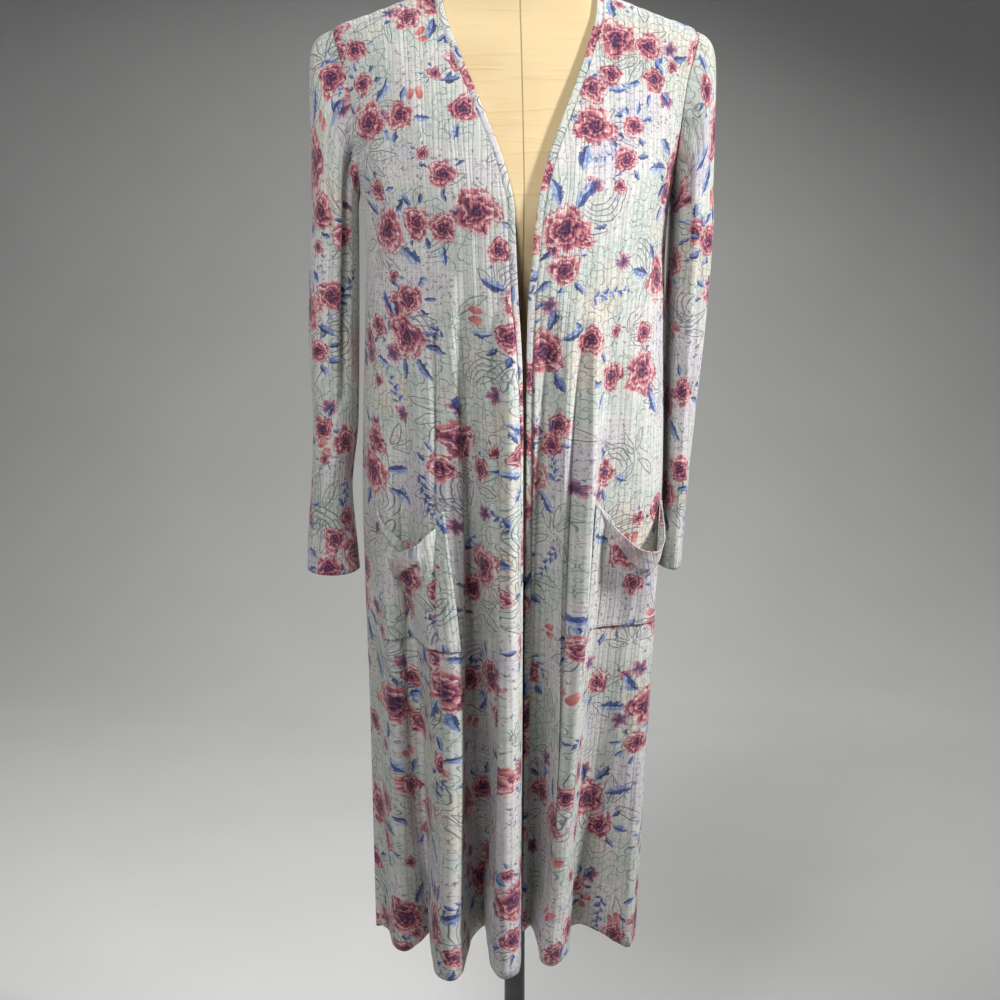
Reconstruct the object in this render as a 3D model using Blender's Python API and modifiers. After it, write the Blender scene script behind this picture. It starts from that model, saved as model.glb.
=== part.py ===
"""Long open-front duster cardigan in ribbed jersey, worn on a limbless dress form with a pole and round base.

Metres, +Z up. The front faces -Y and the middle of the base's underside is at the origin.
Every cloth piece is a wall: its inner face is plain and its outer face carries the ribs.
A point of the body is named by its angle (0 at the front, 90 at the side seam on +X) and its height.
"""

import math

import bmesh
import bpy
import numpy as np

# Cloth
WALL = 0.0018
RIB_HEIGHT = 0.0006
SEAM = 0.0003
BAND_WIDTH = 0.008
BAND_WALL = 0.0024
BAND_LANES = (0.0, BAND_WIDTH / 2, BAND_WIDTH)

# Heights
HEM_Z = 0.353
FOLD_TOP_Z = 1.12
PIT_Z = 1.235
TIP_Z = 1.409
NECK_POINT_Z = 1.4535
BACK_NECK_DROP = 0.013
ARMHOLE_DEPTH = 0.043
SQUARENESS = 2.2
FOLD_GROWTH = 2.1
FOLD_DIP = 0.14
MOST_DIP_FROM = 0.06

# Rows and columns of the cloth grids
LOW_ROWS = 12
YOKE_ROWS = 9
FRONT_COLUMNS = 34
BACK_COLUMNS = 50
NECK_COLUMNS = 10

# Stand
POLE_RADIUS = 0.0125
POLE_Y = 0.0
BASE_RADIUS = 0.155
BASE_THICK = 0.016
FORM_BOTTOM_Z = 0.800
FORM_COLUMNS = 32

# Inner face of the cloth without its folds: height, centre x, half width, front depth, back depth
CLOTH_RINGS = (
    (0.330, -0.009, 0.157, 0.084, 0.084),
    (0.500, -0.007, 0.161, 0.094, 0.096),
    (0.650, -0.005, 0.165, 0.103, 0.110),
    (0.800, -0.004, 0.1695, 0.114, 0.124),
    (0.900, -0.003, 0.1715, 0.121, 0.130),
    (1.000, -0.002, 0.1700, 0.127, 0.128),
    (1.080, -0.001, 0.1680, 0.131, 0.121),
    (1.160, 0.000, 0.1670, 0.134, 0.115),
    (1.220, 0.000, 0.1700, 0.133, 0.112),
    (1.270, 0.000, 0.1790, 0.123, 0.113),
    (1.320, 0.000, 0.1910, 0.107, 0.111),
    (1.360, 0.000, 0.2000, 0.092, 0.104),
    (1.383, 0.000, 0.2045, 0.083, 0.098),
    (1.397, 0.000, 0.2040, 0.077, 0.091),
    (1.409, 0.000, 0.1985, 0.071, 0.084),
    (1.424, 0.000, 0.1600, 0.064, 0.074),
    (1.440, 0.000, 0.1180, 0.059, 0.067),
    (1.4535, 0.000, 0.0845, 0.055, 0.062),
    (1.466, 0.000, 0.0520, 0.051, 0.058),
)

# The form under the cloth, up to its shoulders: height, centre x, half width, front depth, back depth
FORM_RINGS = (
    (0.800, 0.0, 0.140, 0.062, 0.088),
    (0.806, 0.0, 0.150, 0.069, 0.096),
    (0.835, 0.0, 0.1575, 0.074, 0.104),
    (0.880, 0.0, 0.1600, 0.078, 0.110),
    (0.940, 0.0, 0.1530, 0.081, 0.109),
    (1.000, 0.0, 0.1380, 0.083, 0.101),
    (1.050, 0.0, 0.1250, 0.085, 0.091),
    (1.100, 0.0, 0.1270, 0.093, 0.089),
    (1.160, 0.0, 0.1390, 0.116, 0.096),
    (1.210, 0.0, 0.1480, 0.129, 0.103),
    (1.260, 0.0, 0.1550, 0.1205, 0.107),
    (1.310, 0.0, 0.1660, 0.105, 0.107),
    (1.350, 0.0, 0.1760, 0.091, 0.101),
    (1.382, 0.0, 0.1830, 0.080, 0.093),
    (1.399, 0.0, 0.1840, 0.073, 0.086),
)
FORM_SHOULDER_DROP = 0.0017
FORM_SHOULDER_START = 0.006
FORM_SHOULDER_TOP_Z = 1.444
FORM_SHOULDER_RINGS = 8
FORM_SHOULDER_HALF = 0.186
FORM_SHOULDER_CLEAR = (0.0006, 0.0022, 0.0022)
FORM_NECK = (
    (1.4535, 0.0, 0.0790, 0.052, 0.059),
    (1.462, 0.0, 0.0690, 0.050, 0.057),
    (1.474, 0.0, 0.0615, 0.048, 0.054),
    (1.495, 0.0, 0.0575, 0.046, 0.051),
    (1.520, 0.0, 0.0565, 0.045, 0.050),
    (1.525, 0.0, 0.0535, 0.042, 0.047),
)

# Front edges in the front view: height, x of the left front's edge, x of the right front's edge
NECK_EDGES = (
    (0.340, -0.0105, -0.0060),
    (0.700, -0.0060, -0.0020),
    (1.000, -0.0025, 0.0015),
    (1.050, -0.0030, 0.0020),
    (1.110, -0.0055, 0.0035),
    (1.170, -0.0085, 0.0085),
    (1.220, -0.0105, 0.0135),
    (1.260, -0.0190, 0.0225),
    (1.310, -0.0370, 0.0405),
    (1.350, -0.0530, 0.0570),
    (1.390, -0.0690, 0.0715),
    (1.425, -0.0805, 0.0820),
    (1.4535, -0.0845, 0.0845),
)

# Folds of the hem, knots along its wave: angle, x and y of the hem there, reach upwards
LEFT_FOLDS = (
    (-90.0, -0.167, 0.000, 1.0),
    (-81.0, -0.159, -0.004, 1.0),
    (-74.0, -0.150, -0.020, 1.1),
    (-67.5, -0.146, -0.050, 1.3),
    (-61.0, -0.136, -0.064, 1.5),
    (-54.0, -0.120, -0.050, 1.6),
    (-48.0, -0.1035, -0.028, 1.9),
    (-43.5, -0.1005, -0.080, 2.6),
    (-39.5, -0.095, -0.120, 2.9),
    (-35.0, -0.083, -0.131, 2.9),
    (-31.0, -0.071, -0.117, 2.9),
    (-27.5, -0.064, -0.082, 2.9),
    (-24.0, -0.057, -0.050, 2.9),
    (-18.0, -0.037, -0.022, 2.7),
    (-14.0, -0.0335, -0.065, 2.6),
    (-10.5, -0.031, -0.112, 2.6),
    (-7.0, -0.021, -0.133, 2.5),
    (-3.5, -0.008, -0.124, 2.3),
    (0.0, 0.001, -0.086, 2.0),
)
RIGHT_FOLDS = (
    (0.0, 0.004, -0.042, 1.9),
    (7.0, 0.018, -0.026, 2.2),
    (12.0, 0.0245, -0.062, 2.6),
    (16.0, 0.026, -0.102, 2.9),
    (21.0, 0.036, -0.110, 2.9),
    (28.0, 0.053, -0.090, 2.9),
    (34.0, 0.060, -0.058, 2.7),
    (38.0, 0.063, -0.030, 2.4),
    (44.0, 0.074, -0.022, 2.0),
    (55.0, 0.099, -0.035, 1.6),
    (67.0, 0.120, -0.057, 1.4),
    (74.0, 0.132, -0.064, 1.2),
    (81.0, 0.141, -0.040, 1.0),
    (90.0, 0.148, 0.000, 1.0),
)
SIDE_FOLDS = {-1: LEFT_FOLDS, 1: RIGHT_FOLDS}
BACK_FOLDS = (
    (90.0, 0.148, 0.000, 0.9),
    (104.0, 0.137, 0.024, 1.0),
    (118.0, 0.120, 0.083, 1.2),
    (132.0, 0.090, 0.045, 1.3),
    (146.0, 0.064, 0.122, 1.5),
    (160.0, 0.032, 0.052, 1.5),
    (174.0, -0.002, 0.116, 1.4),
    (190.0, -0.040, 0.050, 1.3),
    (206.0, -0.078, 0.126, 1.4),
    (220.0, -0.104, 0.054, 1.2),
    (236.0, -0.132, 0.088, 1.1),
    (252.0, -0.154, 0.030, 0.9),
    (270.0, -0.167, 0.000, 0.9),
)

# Sleeves below the armhole: height, outermost x, innermost x, middle y, half depth
LEFT_SLEEVE = (
    (1.200, 0.2290, 0.1770, 0.000, 0.059),
    (1.150, 0.2330, 0.1775, -0.001, 0.057),
    (1.080, 0.2355, 0.1785, -0.003, 0.055),
    (0.980, 0.2325, 0.1810, -0.007, 0.051),
    (0.900, 0.2360, 0.1890, -0.012, 0.045),
    (0.842, 0.2410, 0.1850, -0.014, 0.042),
    (0.807, 0.2420, 0.1820, -0.015, 0.044),
)
RIGHT_SLEEVE = (
    (1.200, 0.2225, 0.1770, 0.005, 0.062),
    (1.150, 0.2200, 0.1760, 0.008, 0.059),
    (1.080, 0.2155, 0.1750, 0.012, 0.056),
    (0.980, 0.2085, 0.1750, 0.020, 0.052),
    (0.900, 0.2055, 0.1750, 0.027, 0.049),
    (0.840, 0.2020, 0.1740, 0.030, 0.045),
    (0.798, 0.1995, 0.1720, 0.031, 0.046),
)
SLEEVE_RINGS = {-1: LEFT_SLEEVE, 1: RIGHT_SLEEVE}
CAP_RINGS = 6
ARM_RINGS = 10

# The sleeve head's roll: how far it leaves the armhole at the pit and more at the top, and its fall at each
CAP_OUT_PIT = 0.012
CAP_OUT_TOP = 0.120
CAP_SPREAD = 0.020
CAP_DIP_PIT = 0.045
CAP_FALL_PIT = 0.035
CAP_FALL_TOP = 0.260
CAP_EASE = 0.0006
CAP_SQUARE = 8
CAP_DROP = 1.8
CAP_SLOPE = 0.3

# Pockets: the front's column at the near side and at the far side, bottom, top, sag, lowest share
POCKETS = {
    "pocket_left": (14, 27, 0.735, 0.893, 0.050, 0.46),
    "pocket_right": (12, 28, 0.745, 0.897, 0.050, 0.66),
}
POCKET_BULGE = 0.030
POCKET_ROWS = 10

COLLECTION = "duster_cardigan"


def column(rows, index, z):
    """Smooth, monotone curve through one column of a table, at the heights z."""
    table = np.asarray(rows, float)
    x, y = table[:, 0], table[:, index]
    step = np.diff(x)
    slope = np.diff(y) / step
    tangent = np.zeros(len(x))
    same = slope[:-1] * slope[1:] > 0
    a = 2 * step[1:] + step[:-1]
    b = step[1:] + 2 * step[:-1]
    safe = np.where(same, slope[:-1], 1), np.where(same, slope[1:], 1)
    tangent[1:-1] = np.where(same, (a + b) / (a / safe[0] + b / safe[1]), 0)
    tangent[0], tangent[-1] = slope[0], slope[-1]
    z = np.clip(np.asarray(z, float), x[0], x[-1])
    i = np.clip(np.searchsorted(x, z) - 1, 0, len(step) - 1)
    t = (z - x[i]) / step[i]
    return (
        y[i] * (1 + 2 * t) * (1 - t) ** 2
        + tangent[i] * step[i] * t * (1 - t) ** 2
        + y[i + 1] * t * t * (3 - 2 * t)
        + tangent[i + 1] * step[i] * t * t * (t - 1)
    )


def signed_power(v, p):
    return np.sign(v) * np.abs(v) ** p


def ring_point(rows, angle, z):
    """Point of a plain oval ring at an angle in degrees and a height."""
    a = np.radians(angle)
    p = 2 / SQUARENESS
    x = column(rows, 1, z) + column(rows, 2, z) * signed_power(np.sin(a), p)
    c = signed_power(np.cos(a), p)
    y = np.where(c >= 0, -column(rows, 3, z) * c, -column(rows, 4, z) * c)
    return np.stack(np.broadcast_arrays(x, y, z), axis=-1)


def angle_at(x, z):
    """Angle of the front at a given x and height."""
    share = (x - column(CLOTH_RINGS, 1, z)) / column(CLOTH_RINGS, 2, z)
    share = np.clip(share, -1, 1)
    return np.degrees(np.arcsin(signed_power(share, SQUARENESS / 2)))


def wave(folds, angle):
    """Offset at the hem from the plain ring, and the reach upwards, at an angle, from a table of folds."""
    table = np.asarray(folds, float)
    base = ring_point(CLOTH_RINGS, table[:, 0], np.full(len(table), HEM_Z))
    offset = table[:, 1:3] - base[:, :2]
    knots = np.column_stack([table[:, 0], offset, table[:, 3]])
    return column(knots, 1, angle), column(knots, 2, angle), column(knots, 3, angle)


def body_point(folds, angle, z):
    """Point of the cloth's inner face: the plain ring moved by the folds, which grow towards the hem."""
    angle, z = np.broadcast_arrays(np.asarray(angle, float), np.asarray(z, float))
    point = ring_point(CLOTH_RINGS, angle, z)
    dx, dy, reach = wave(folds, angle)
    down = np.clip((FOLD_TOP_Z - z) / (FOLD_TOP_Z - HEM_Z), 0, 1.1)
    grow = down ** (FOLD_GROWTH / reach)
    outward = np.where(np.abs(angle) <= 90, -dy, dy)
    point[..., 0] += dx * grow
    point[..., 1] += dy * grow
    point[..., 2] -= np.clip(outward, -MOST_DIP_FROM, MOST_DIP_FROM) * FOLD_DIP * down**2
    return point


def body_normals(folds, angle, z):
    """Outward unit normals of the cloth's inner face."""
    by_angle = body_point(folds, angle + 0.05, z) - body_point(folds, angle - 0.05, z)
    by_height = body_point(folds, angle, z + 0.0005) - body_point(folds, angle, z - 0.0005)
    normal = np.cross(by_angle, by_height)
    return normal / np.linalg.norm(normal, axis=-1, keepdims=True)


def edge_angle(side, z):
    """Angle of a front edge. Side is -1 for the left front and 1 for the right."""
    return angle_at(column(NECK_EDGES, 1 if side < 0 else 2, z), z)


def inset_curve(folds, angle, z, distance):
    """Moves a curve on the body square to itself and away from its left, by a distance along the cloth."""
    here = body_point(folds, angle, z)
    by_angle = (body_point(folds, angle + 0.05, z) - body_point(folds, angle - 0.05, z)) / 0.1
    by_height = (body_point(folds, angle, z + 0.0005) - body_point(folds, angle, z - 0.0005)) / 0.001
    along = np.gradient(here, axis=0)
    along /= np.linalg.norm(along, axis=-1, keepdims=True)
    normal = np.cross(by_angle, by_height)
    normal /= np.linalg.norm(normal, axis=-1, keepdims=True)
    aside = np.cross(along, normal)
    moved_angle, moved_z = [], []
    for k in range(len(z)):
        basis = np.stack([by_angle[k], by_height[k]], axis=1)
        step = np.linalg.lstsq(basis, aside[k] * distance, rcond=None)[0]
        moved_angle.append(angle[k] + step[0])
        moved_z.append(z[k] + step[1])
    return np.array(moved_angle), np.array(moved_z)


def front_heights():
    """Heights of a front's rows at its edge, from the hem to the neck point."""
    low = HEM_Z + (PIT_Z - HEM_Z) * np.linspace(0, 1, LOW_ROWS + 1) ** 0.9
    rise = np.sin(np.linspace(0, math.pi / 2, YOKE_ROWS + 1))
    return np.concatenate([low, PIT_Z + (NECK_POINT_Z - PIT_Z) * rise[1:]])


def front_edge_curve(side, distance):
    """A front's edge, moved in from it by a distance, as angles and heights."""
    z = front_heights()
    angle, moved = inset_curve(SIDE_FOLDS[side], edge_angle(side, z), z, side * distance)
    high = np.arange(len(z)) > LOW_ROWS
    moved = np.where(high, moved, z)
    angle = np.clip(angle, -90, 90)
    angle[-1] = side * 90
    return angle, moved


def neck_curve(count, distance):
    """The back of the neck from the middle to the shoulder on +X, moved down from it by a distance."""
    turn = np.radians(np.linspace(0, 90, count + 1))
    z = NECK_POINT_Z - BACK_NECK_DROP * np.cos(turn) ** 2
    angle = 180 - np.degrees(turn)
    moved_angle, moved = inset_curve(BACK_FOLDS, angle, z, -distance)
    moved_angle[0], moved_angle[-1] = 180, 90
    return moved_angle, moved


def grid_normals(points, wrap=False):
    """Unit normals of a grid of points, rows by columns, from the differences along both directions."""
    if wrap:
        padded = np.concatenate([points[:, -1:], points, points[:, :1]], axis=1)
        across = (padded[:, 2:] - padded[:, :-2]) / 2
    else:
        across = np.gradient(points, axis=1)
    up = np.gradient(points, axis=0)
    normal = np.cross(across, up)
    return normal / np.maximum(np.linalg.norm(normal, axis=-1, keepdims=True), 1e-12)


def grid_surface(bm, points, wrap):
    """A grid of faces mapped onto points, rows by columns. Returns its rings or rows of vertices."""
    rows, columns = points.shape[:2]
    made = bmesh.ops.create_grid(bm, x_segments=columns - (not wrap), y_segments=rows - 1, size=0.5)
    verts = made["verts"]
    width = columns + wrap
    table = [verts[r * width : (r + 1) * width] for r in range(rows)]
    for r in range(rows):
        for c in range(width):
            table[r][c].co = points[r, c % columns]
    if wrap:
        seam = {table[r][-1]: table[r][0] for r in range(rows)}
        bmesh.ops.weld_verts(bm, targetmap=seam)
        table = [row[:-1] for row in table]
    return table


def close_strip(bm, first, second, loop):
    """Joins two rows of vertices, one for one, with a strip of faces."""
    count = len(first)
    for i in range(count if loop else count - 1):
        j = (i + 1) % count
        bm.faces.new((first[i], first[j], second[j], second[i]))


def cloth_piece(name, outer, inner, colour, wrap=False):
    """A closed wall between an outer and an inner grid of points."""
    bm = bmesh.new()
    out = grid_surface(bm, outer, wrap)
    inn = grid_surface(bm, inner, wrap)
    close_strip(bm, out[0], inn[0], wrap)
    close_strip(bm, out[-1], inn[-1], wrap)
    if not wrap:
        close_strip(bm, [r[0] for r in out], [r[0] for r in inn], False)
        close_strip(bm, [r[-1] for r in out], [r[-1] for r in inn], False)
    bmesh.ops.recalc_face_normals(bm, faces=bm.faces)
    return add_node(name, bm, colour)


def add_node(name, bm, colour, metallic=0.0, roughness=0.9):
    mesh = bpy.data.meshes.new(name)
    bm.to_mesh(mesh)
    bm.free()
    obj = bpy.data.objects.new(name, mesh)
    bpy.data.collections[COLLECTION].objects.link(obj)
    material = bpy.data.materials.new(name)
    material.use_nodes = True
    shader = material.node_tree.nodes["Principled BSDF"]
    shader.inputs["Base Color"].default_value = (*colour, 1)
    shader.inputs["Roughness"].default_value = roughness
    shader.inputs["Metallic"].default_value = metallic
    mesh.materials.append(material)
    return obj


def ribbed(points, normals, wrap=False):
    """Outer face: the wall's thickness out from the inner face, every second column raised into a rib."""
    rib = np.zeros(points.shape[1])
    rib[1::2] = RIB_HEIGHT
    if not wrap:
        rib[-1] = 0
    return points + normals * (WALL + rib)[None, :, None]


def yoke(bottom, top, inner_edge, outer_edge, share, rows):
    """Front-view points between four edges of a yoke, from its bottom to the shoulder seam.

    Each edge is an (x, z) array: bottom and top per column, the inner and outer edges per row.
    """
    rise = np.sin(np.linspace(0, math.pi / 2, rows + 1))[:, None, None]
    c = share[None, :, None]
    lower, upper = bottom[None], top[None]
    left = inner_edge[:, None] - ((1 - rise) * inner_edge[0] + rise * inner_edge[-1])
    right = outer_edge[:, None] - ((1 - rise) * outer_edge[0] + rise * outer_edge[-1])
    return (1 - rise) * lower + rise * upper + (1 - c) * left + c * right


def armhole(rows, back):
    """The armhole in the front view, from the pit to the shoulder tip."""
    t = np.linspace(0, 1, rows + 1)
    z = PIT_Z + (TIP_Z - PIT_Z) * (1 - np.cos(math.pi * t)) / 2
    y = ARMHOLE_DEPTH * np.sin(math.pi * t) ** 0.9
    depth = column(CLOTH_RINGS, 4 if back else 3, z)
    x = column(CLOTH_RINGS, 2, z) * (1 - (y / depth) ** SQUARENESS) ** (1 / SQUARENESS)
    return np.stack([x, z], axis=-1)


def on_rings(front_view, side, back):
    """Puts front-view points of one half onto the cloth's rings."""
    x, z = front_view[..., 0], front_view[..., 1]
    share = np.clip(x / column(CLOTH_RINGS, 2, z), 0, 1)
    depth = column(CLOTH_RINGS, 4 if back else 3, z)
    y = depth * (1 - share**SQUARENESS) ** (1 / SQUARENESS)
    return np.stack([side * x, y if back else -y, z], axis=-1)


def column_shares(folds, side):
    """Where a front's columns stand, evened between its smooth top and its wavy hem."""
    angle = side * np.linspace(0, 90, 361)
    hem = body_point(folds, angle, HEM_Z)
    length = np.concatenate([[0], np.cumsum(np.linalg.norm(np.diff(hem, axis=0), axis=-1))])
    even = (length / length[-1] + np.linspace(0, 1, 361)) / 2
    return np.interp(np.linspace(0, 1, FRONT_COLUMNS + 1), even, np.linspace(0, 1, 361))


def front_panel(side):
    """Inner face of a front: rows from the hem to the shoulder seam, columns from the edge to the side."""
    folds = SIDE_FOLDS[side]
    share = column_shares(folds, side)
    start, start_z = front_edge_curve(side, BAND_WIDTH + SEAM)
    low_z = front_heights()[: LOW_ROWS + 1]
    angle = start[: LOW_ROWS + 1, None]
    angle = angle + (side * 90 - angle) * share[None]
    low = body_point(folds, angle, np.broadcast_to(low_z[:, None], angle.shape))
    bottom = np.stack([side * low[-1, :, 0], low[-1, :, 2]], axis=-1)
    z = np.linspace(start_z[-1], TIP_Z, len(share))
    top = np.stack([column(CLOTH_RINGS, 2, z), z], axis=-1)
    edge_x = side * ring_point(CLOTH_RINGS, start, start_z)[LOW_ROWS:, 0]
    edge = np.stack([edge_x, start_z[LOW_ROWS:]], axis=-1)
    view = yoke(bottom, top, edge, armhole(YOKE_ROWS, False), share, YOKE_ROWS)
    points = np.concatenate([low, on_rings(view, side, False)[1:]])
    points[..., 1] -= SEAM / 2
    normals = outward(points)
    low_z = np.broadcast_to(low_z[:, None], angle.shape)
    normals[:LOW_ROWS] = body_normals(folds, angle, low_z)[:LOW_ROWS]
    return points, normals


def back_panel():
    """Inner face of the back: rows from the hem to the neck and shoulder seams, columns from side to side."""
    angles = np.linspace(90, 270, BACK_COLUMNS + 1)
    low_z = HEM_Z + (PIT_Z - HEM_Z) * np.linspace(0, 1, LOW_ROWS + 1) ** 0.9
    low = body_point(BACK_FOLDS, angles[None], np.broadcast_to(low_z[:, None], (len(low_z), len(angles))))
    half = BACK_COLUMNS // 2
    bottom = np.stack([low[-1, : half + 1, 0], low[-1, : half + 1, 2]], axis=-1)[::-1]
    share = np.linspace(0, 1, half + 1)
    neck_angle, neck_z = neck_curve(NECK_COLUMNS, BAND_WIDTH + SEAM)
    neck_x = ring_point(CLOTH_RINGS, neck_angle, neck_z)[:, 0]
    neck_x[0] = 0
    seam_z = np.linspace(neck_z[-1], TIP_Z, half - NECK_COLUMNS + 1)[1:]
    seam_x = column(CLOTH_RINGS, 2, seam_z)
    top = np.stack([np.concatenate([neck_x, seam_x]), np.concatenate([neck_z, seam_z])], axis=-1)
    rise = np.sin(np.linspace(0, math.pi / 2, YOKE_ROWS + 1))
    middle = np.stack([np.zeros(YOKE_ROWS + 1), PIT_Z + (neck_z[0] - PIT_Z) * rise], axis=-1)
    view = yoke(bottom, top, middle, armhole(YOKE_ROWS, True), share, YOKE_ROWS)
    right = on_rings(view, 1, True)[:, ::-1]
    left = on_rings(view, -1, True)[:, 1:]
    points = np.concatenate([low, np.concatenate([right, left], axis=1)[1:]])
    points[..., 1] += SEAM / 2
    return points


def outward(points, wrap=False, centre=(0.0, 0.0)):
    """Normals of a grid, turned to face away from an upright line."""
    normals = grid_normals(points, wrap)
    away = points[..., :2] - np.asarray(centre)
    facing = (normals[..., :2] * away).sum(axis=-1)
    return normals if np.median(facing) > 0 else -normals


def sleeve_points(side, front_edge, back_edge):
    """Outer face of a sleeve: rings from the armhole to the cuff."""
    rows = SLEEVE_RINGS[side]
    count = YOKE_ROWS
    loop = np.concatenate([front_edge[::-1], back_edge[1:-1]])
    loop[0] = (front_edge[-1] + back_edge[-1]) / 2
    loop[count] = (front_edge[0] + back_edge[0]) / 2
    loop = loop + np.array([side * CAP_EASE, 0, 0])
    turn = np.linspace(0, 2 * math.pi, 2 * count + 1)[:-1]

    def ring(z):
        outer = column(rows[::-1], 1, z)
        inner = column(rows[::-1], 2, z)
        x = (outer + inner) / 2 + (outer - inner) / 2 * np.cos(turn)
        y = column(rows[::-1], 3, z) - column(rows[::-1], 4, z) * np.sin(turn)
        return np.stack([side * x, y, np.full(len(turn), z)], axis=-1)

    high = (1 + np.cos(turn)) / 2
    leave_x = side * (CAP_OUT_PIT + CAP_OUT_TOP * high)
    leave = np.stack([leave_x, -CAP_SPREAD * np.sin(turn), -CAP_DIP_PIT * (1 - high)], axis=-1)
    first = ring(rows[0][0])
    level = np.zeros(len(turn))
    fall = np.stack([level, level, -(CAP_FALL_PIT + CAP_FALL_TOP * high)], axis=-1)
    rings = []
    for t in np.linspace(0, 1, CAP_RINGS + 1)[:-1] ** 1.3:
        soft = (
            loop * (1 + 2 * t) * (1 - t) ** 2
            + leave * t * (1 - t) ** 2
            + first * t * t * (3 - 2 * t)
            + fall * t * t * (t - 1)
        )
        reach = 1 - (1 - t) ** CAP_SQUARE
        square = loop + (first - loop) * np.array([reach, t, t**CAP_DROP])
        square[:, 2] -= CAP_SLOPE * reach * (1 - t) * np.abs(first - loop)[:, 0]
        rings.append(soft + (square - soft) * (high**2)[:, None])
    for z in np.linspace(rows[0][0], rows[-1][0], ARM_RINGS + 1):
        rings.append(ring(z))
    return np.array(rings)


def sleeve(name, side, front_edge, back_edge, colour):
    """A sleeve: one tube, its ribs fading into the armhole seam."""
    outer = sleeve_points(side, front_edge, back_edge)
    normals = grid_normals(outer, True)
    middle = outer.mean(axis=1, keepdims=True)
    facing = (normals * (outer - middle)).sum(axis=-1)
    if np.median(facing) < 0:
        normals = -normals
    inner = outer - normals * WALL
    rib = np.where(np.arange(outer.shape[1]) % 2 == 1, RIB_HEIGHT, 0)
    fade = np.clip((np.arange(outer.shape[0]) - 1) / 3, 0, 1)
    raised = outer + normals * (rib[None] * fade[:, None])[..., None]
    return cloth_piece(name, raised, inner, colour, wrap=True)


def neckband(colour):
    """The folded strip: up one front edge, round the back of the neck and down the other."""
    lanes = []
    for inset in BAND_LANES:
        fronts = []
        for side in (-1, 1):
            angle, z = front_edge_curve(side, inset)
            front = body_point(SIDE_FOLDS[side], angle, z)
            front[:, 1] -= SEAM / 2
            fronts.append(front)
        angle, z = neck_curve(NECK_COLUMNS, inset)
        half = ring_point(CLOTH_RINGS, angle, z)
        half[:, 1] += SEAM / 2
        other = half * np.array([-1, 1, 1])
        neck = np.concatenate([other[:0:-1], half])
        neck[0] = (neck[0] + fronts[0][-1]) / 2
        neck[-1] = (neck[-1] + fronts[1][-1]) / 2
        lanes.append(np.concatenate([fronts[0][:-1], neck, fronts[1][-2::-1]]))
    points = np.stack(lanes, axis=1)
    normals = outward(points)
    for k, inset in enumerate(BAND_LANES):
        for side, rows in ((-1, slice(0, LOW_ROWS)), (1, slice(-1, -LOW_ROWS - 1, -1))):
            angle, z = front_edge_curve(side, inset)
            normals[rows, k] = body_normals(SIDE_FOLDS[side], angle, z)[:LOW_ROWS]
    return cloth_piece("neckband", points + normals * BAND_WALL, points, colour)


def pocket(name, panel, colour):
    """A patch pocket: the front's own points moved out, with its mouth sagging open."""
    near, far, bottom, top, sag, lowest = POCKETS[name]
    columns = np.arange(near, far + 1)
    share = np.linspace(0, 1, len(columns))
    rise = np.linspace(0, 1, POCKET_ROWS + 1)
    bend = np.where(share < lowest, share / lowest, (1 - share) / (1 - lowest))
    droop = np.sin(bend * math.pi / 2) ** 1.5
    top_z = top - sag * droop - 0.010 * share
    z = bottom + (top_z[None] - bottom) * rise[:, None]
    base = np.empty(z.shape + (3,))
    for k, c in enumerate(columns):
        line = panel[: LOW_ROWS + 1, c]
        for axis in range(3):
            base[:, k, axis] = np.interp(z[:, k], line[:, 2], line[:, axis])
    normals = outward(base)
    open_out = POCKET_BULGE * droop[None] ** 1.2 * rise[:, None] ** 1.6
    inner = base + normals * (SEAM + open_out)[..., None]
    return cloth_piece(name, inner + normals * WALL, inner, colour)


def form_torso(colour):
    """The limbless form: rings from its flat underside to the top of its neck."""
    start = FORM_RINGS[-1][0] + FORM_SHOULDER_START
    rows = list(FORM_RINGS)
    for z in np.linspace(start, FORM_SHOULDER_TOP_Z, FORM_SHOULDER_RINGS):
        inside = [
            float(column(CLOTH_RINGS, i + 2, z + FORM_SHOULDER_DROP)) - clear
            for i, clear in enumerate(FORM_SHOULDER_CLEAR)
        ]
        rows.append((z, 0.0, min(inside[0], FORM_SHOULDER_HALF), inside[1], inside[2]))
    rows += list(FORM_NECK)
    angles = np.linspace(0, 360, FORM_COLUMNS, endpoint=False)
    heights = [row[0] for row in rows]
    points = np.stack([ring_point(rows, angles, np.full(len(angles), z)) for z in heights])
    bm = bmesh.new()
    table = grid_surface(bm, points, True)
    bm.faces.new(table[0])
    bm.faces.new(table[-1])
    bmesh.ops.recalc_face_normals(bm, faces=bm.faces)
    return add_node("form_torso", bm, colour)


def turned(name, profile, centre_y, steps, colour, metallic, roughness):
    """A solid of revolution from a profile of (radius, height) rows."""
    bm = bmesh.new()
    verts = [bm.verts.new((r, 0, z)) for r, z in profile]
    for a, b in zip(verts[:-1], verts[1:]):
        bm.edges.new((a, b))
    obj = add_node(name, bm, colour, metallic, roughness)
    obj.location = (0, centre_y, 0)
    screw = obj.modifiers.new("turn", "SCREW")
    screw.axis = "Z"
    screw.steps = steps
    screw.render_steps = steps
    screw.use_merge_vertices = True
    screw.merge_threshold = 0.00005
    screw.use_normal_flip = True
    return obj


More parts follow.
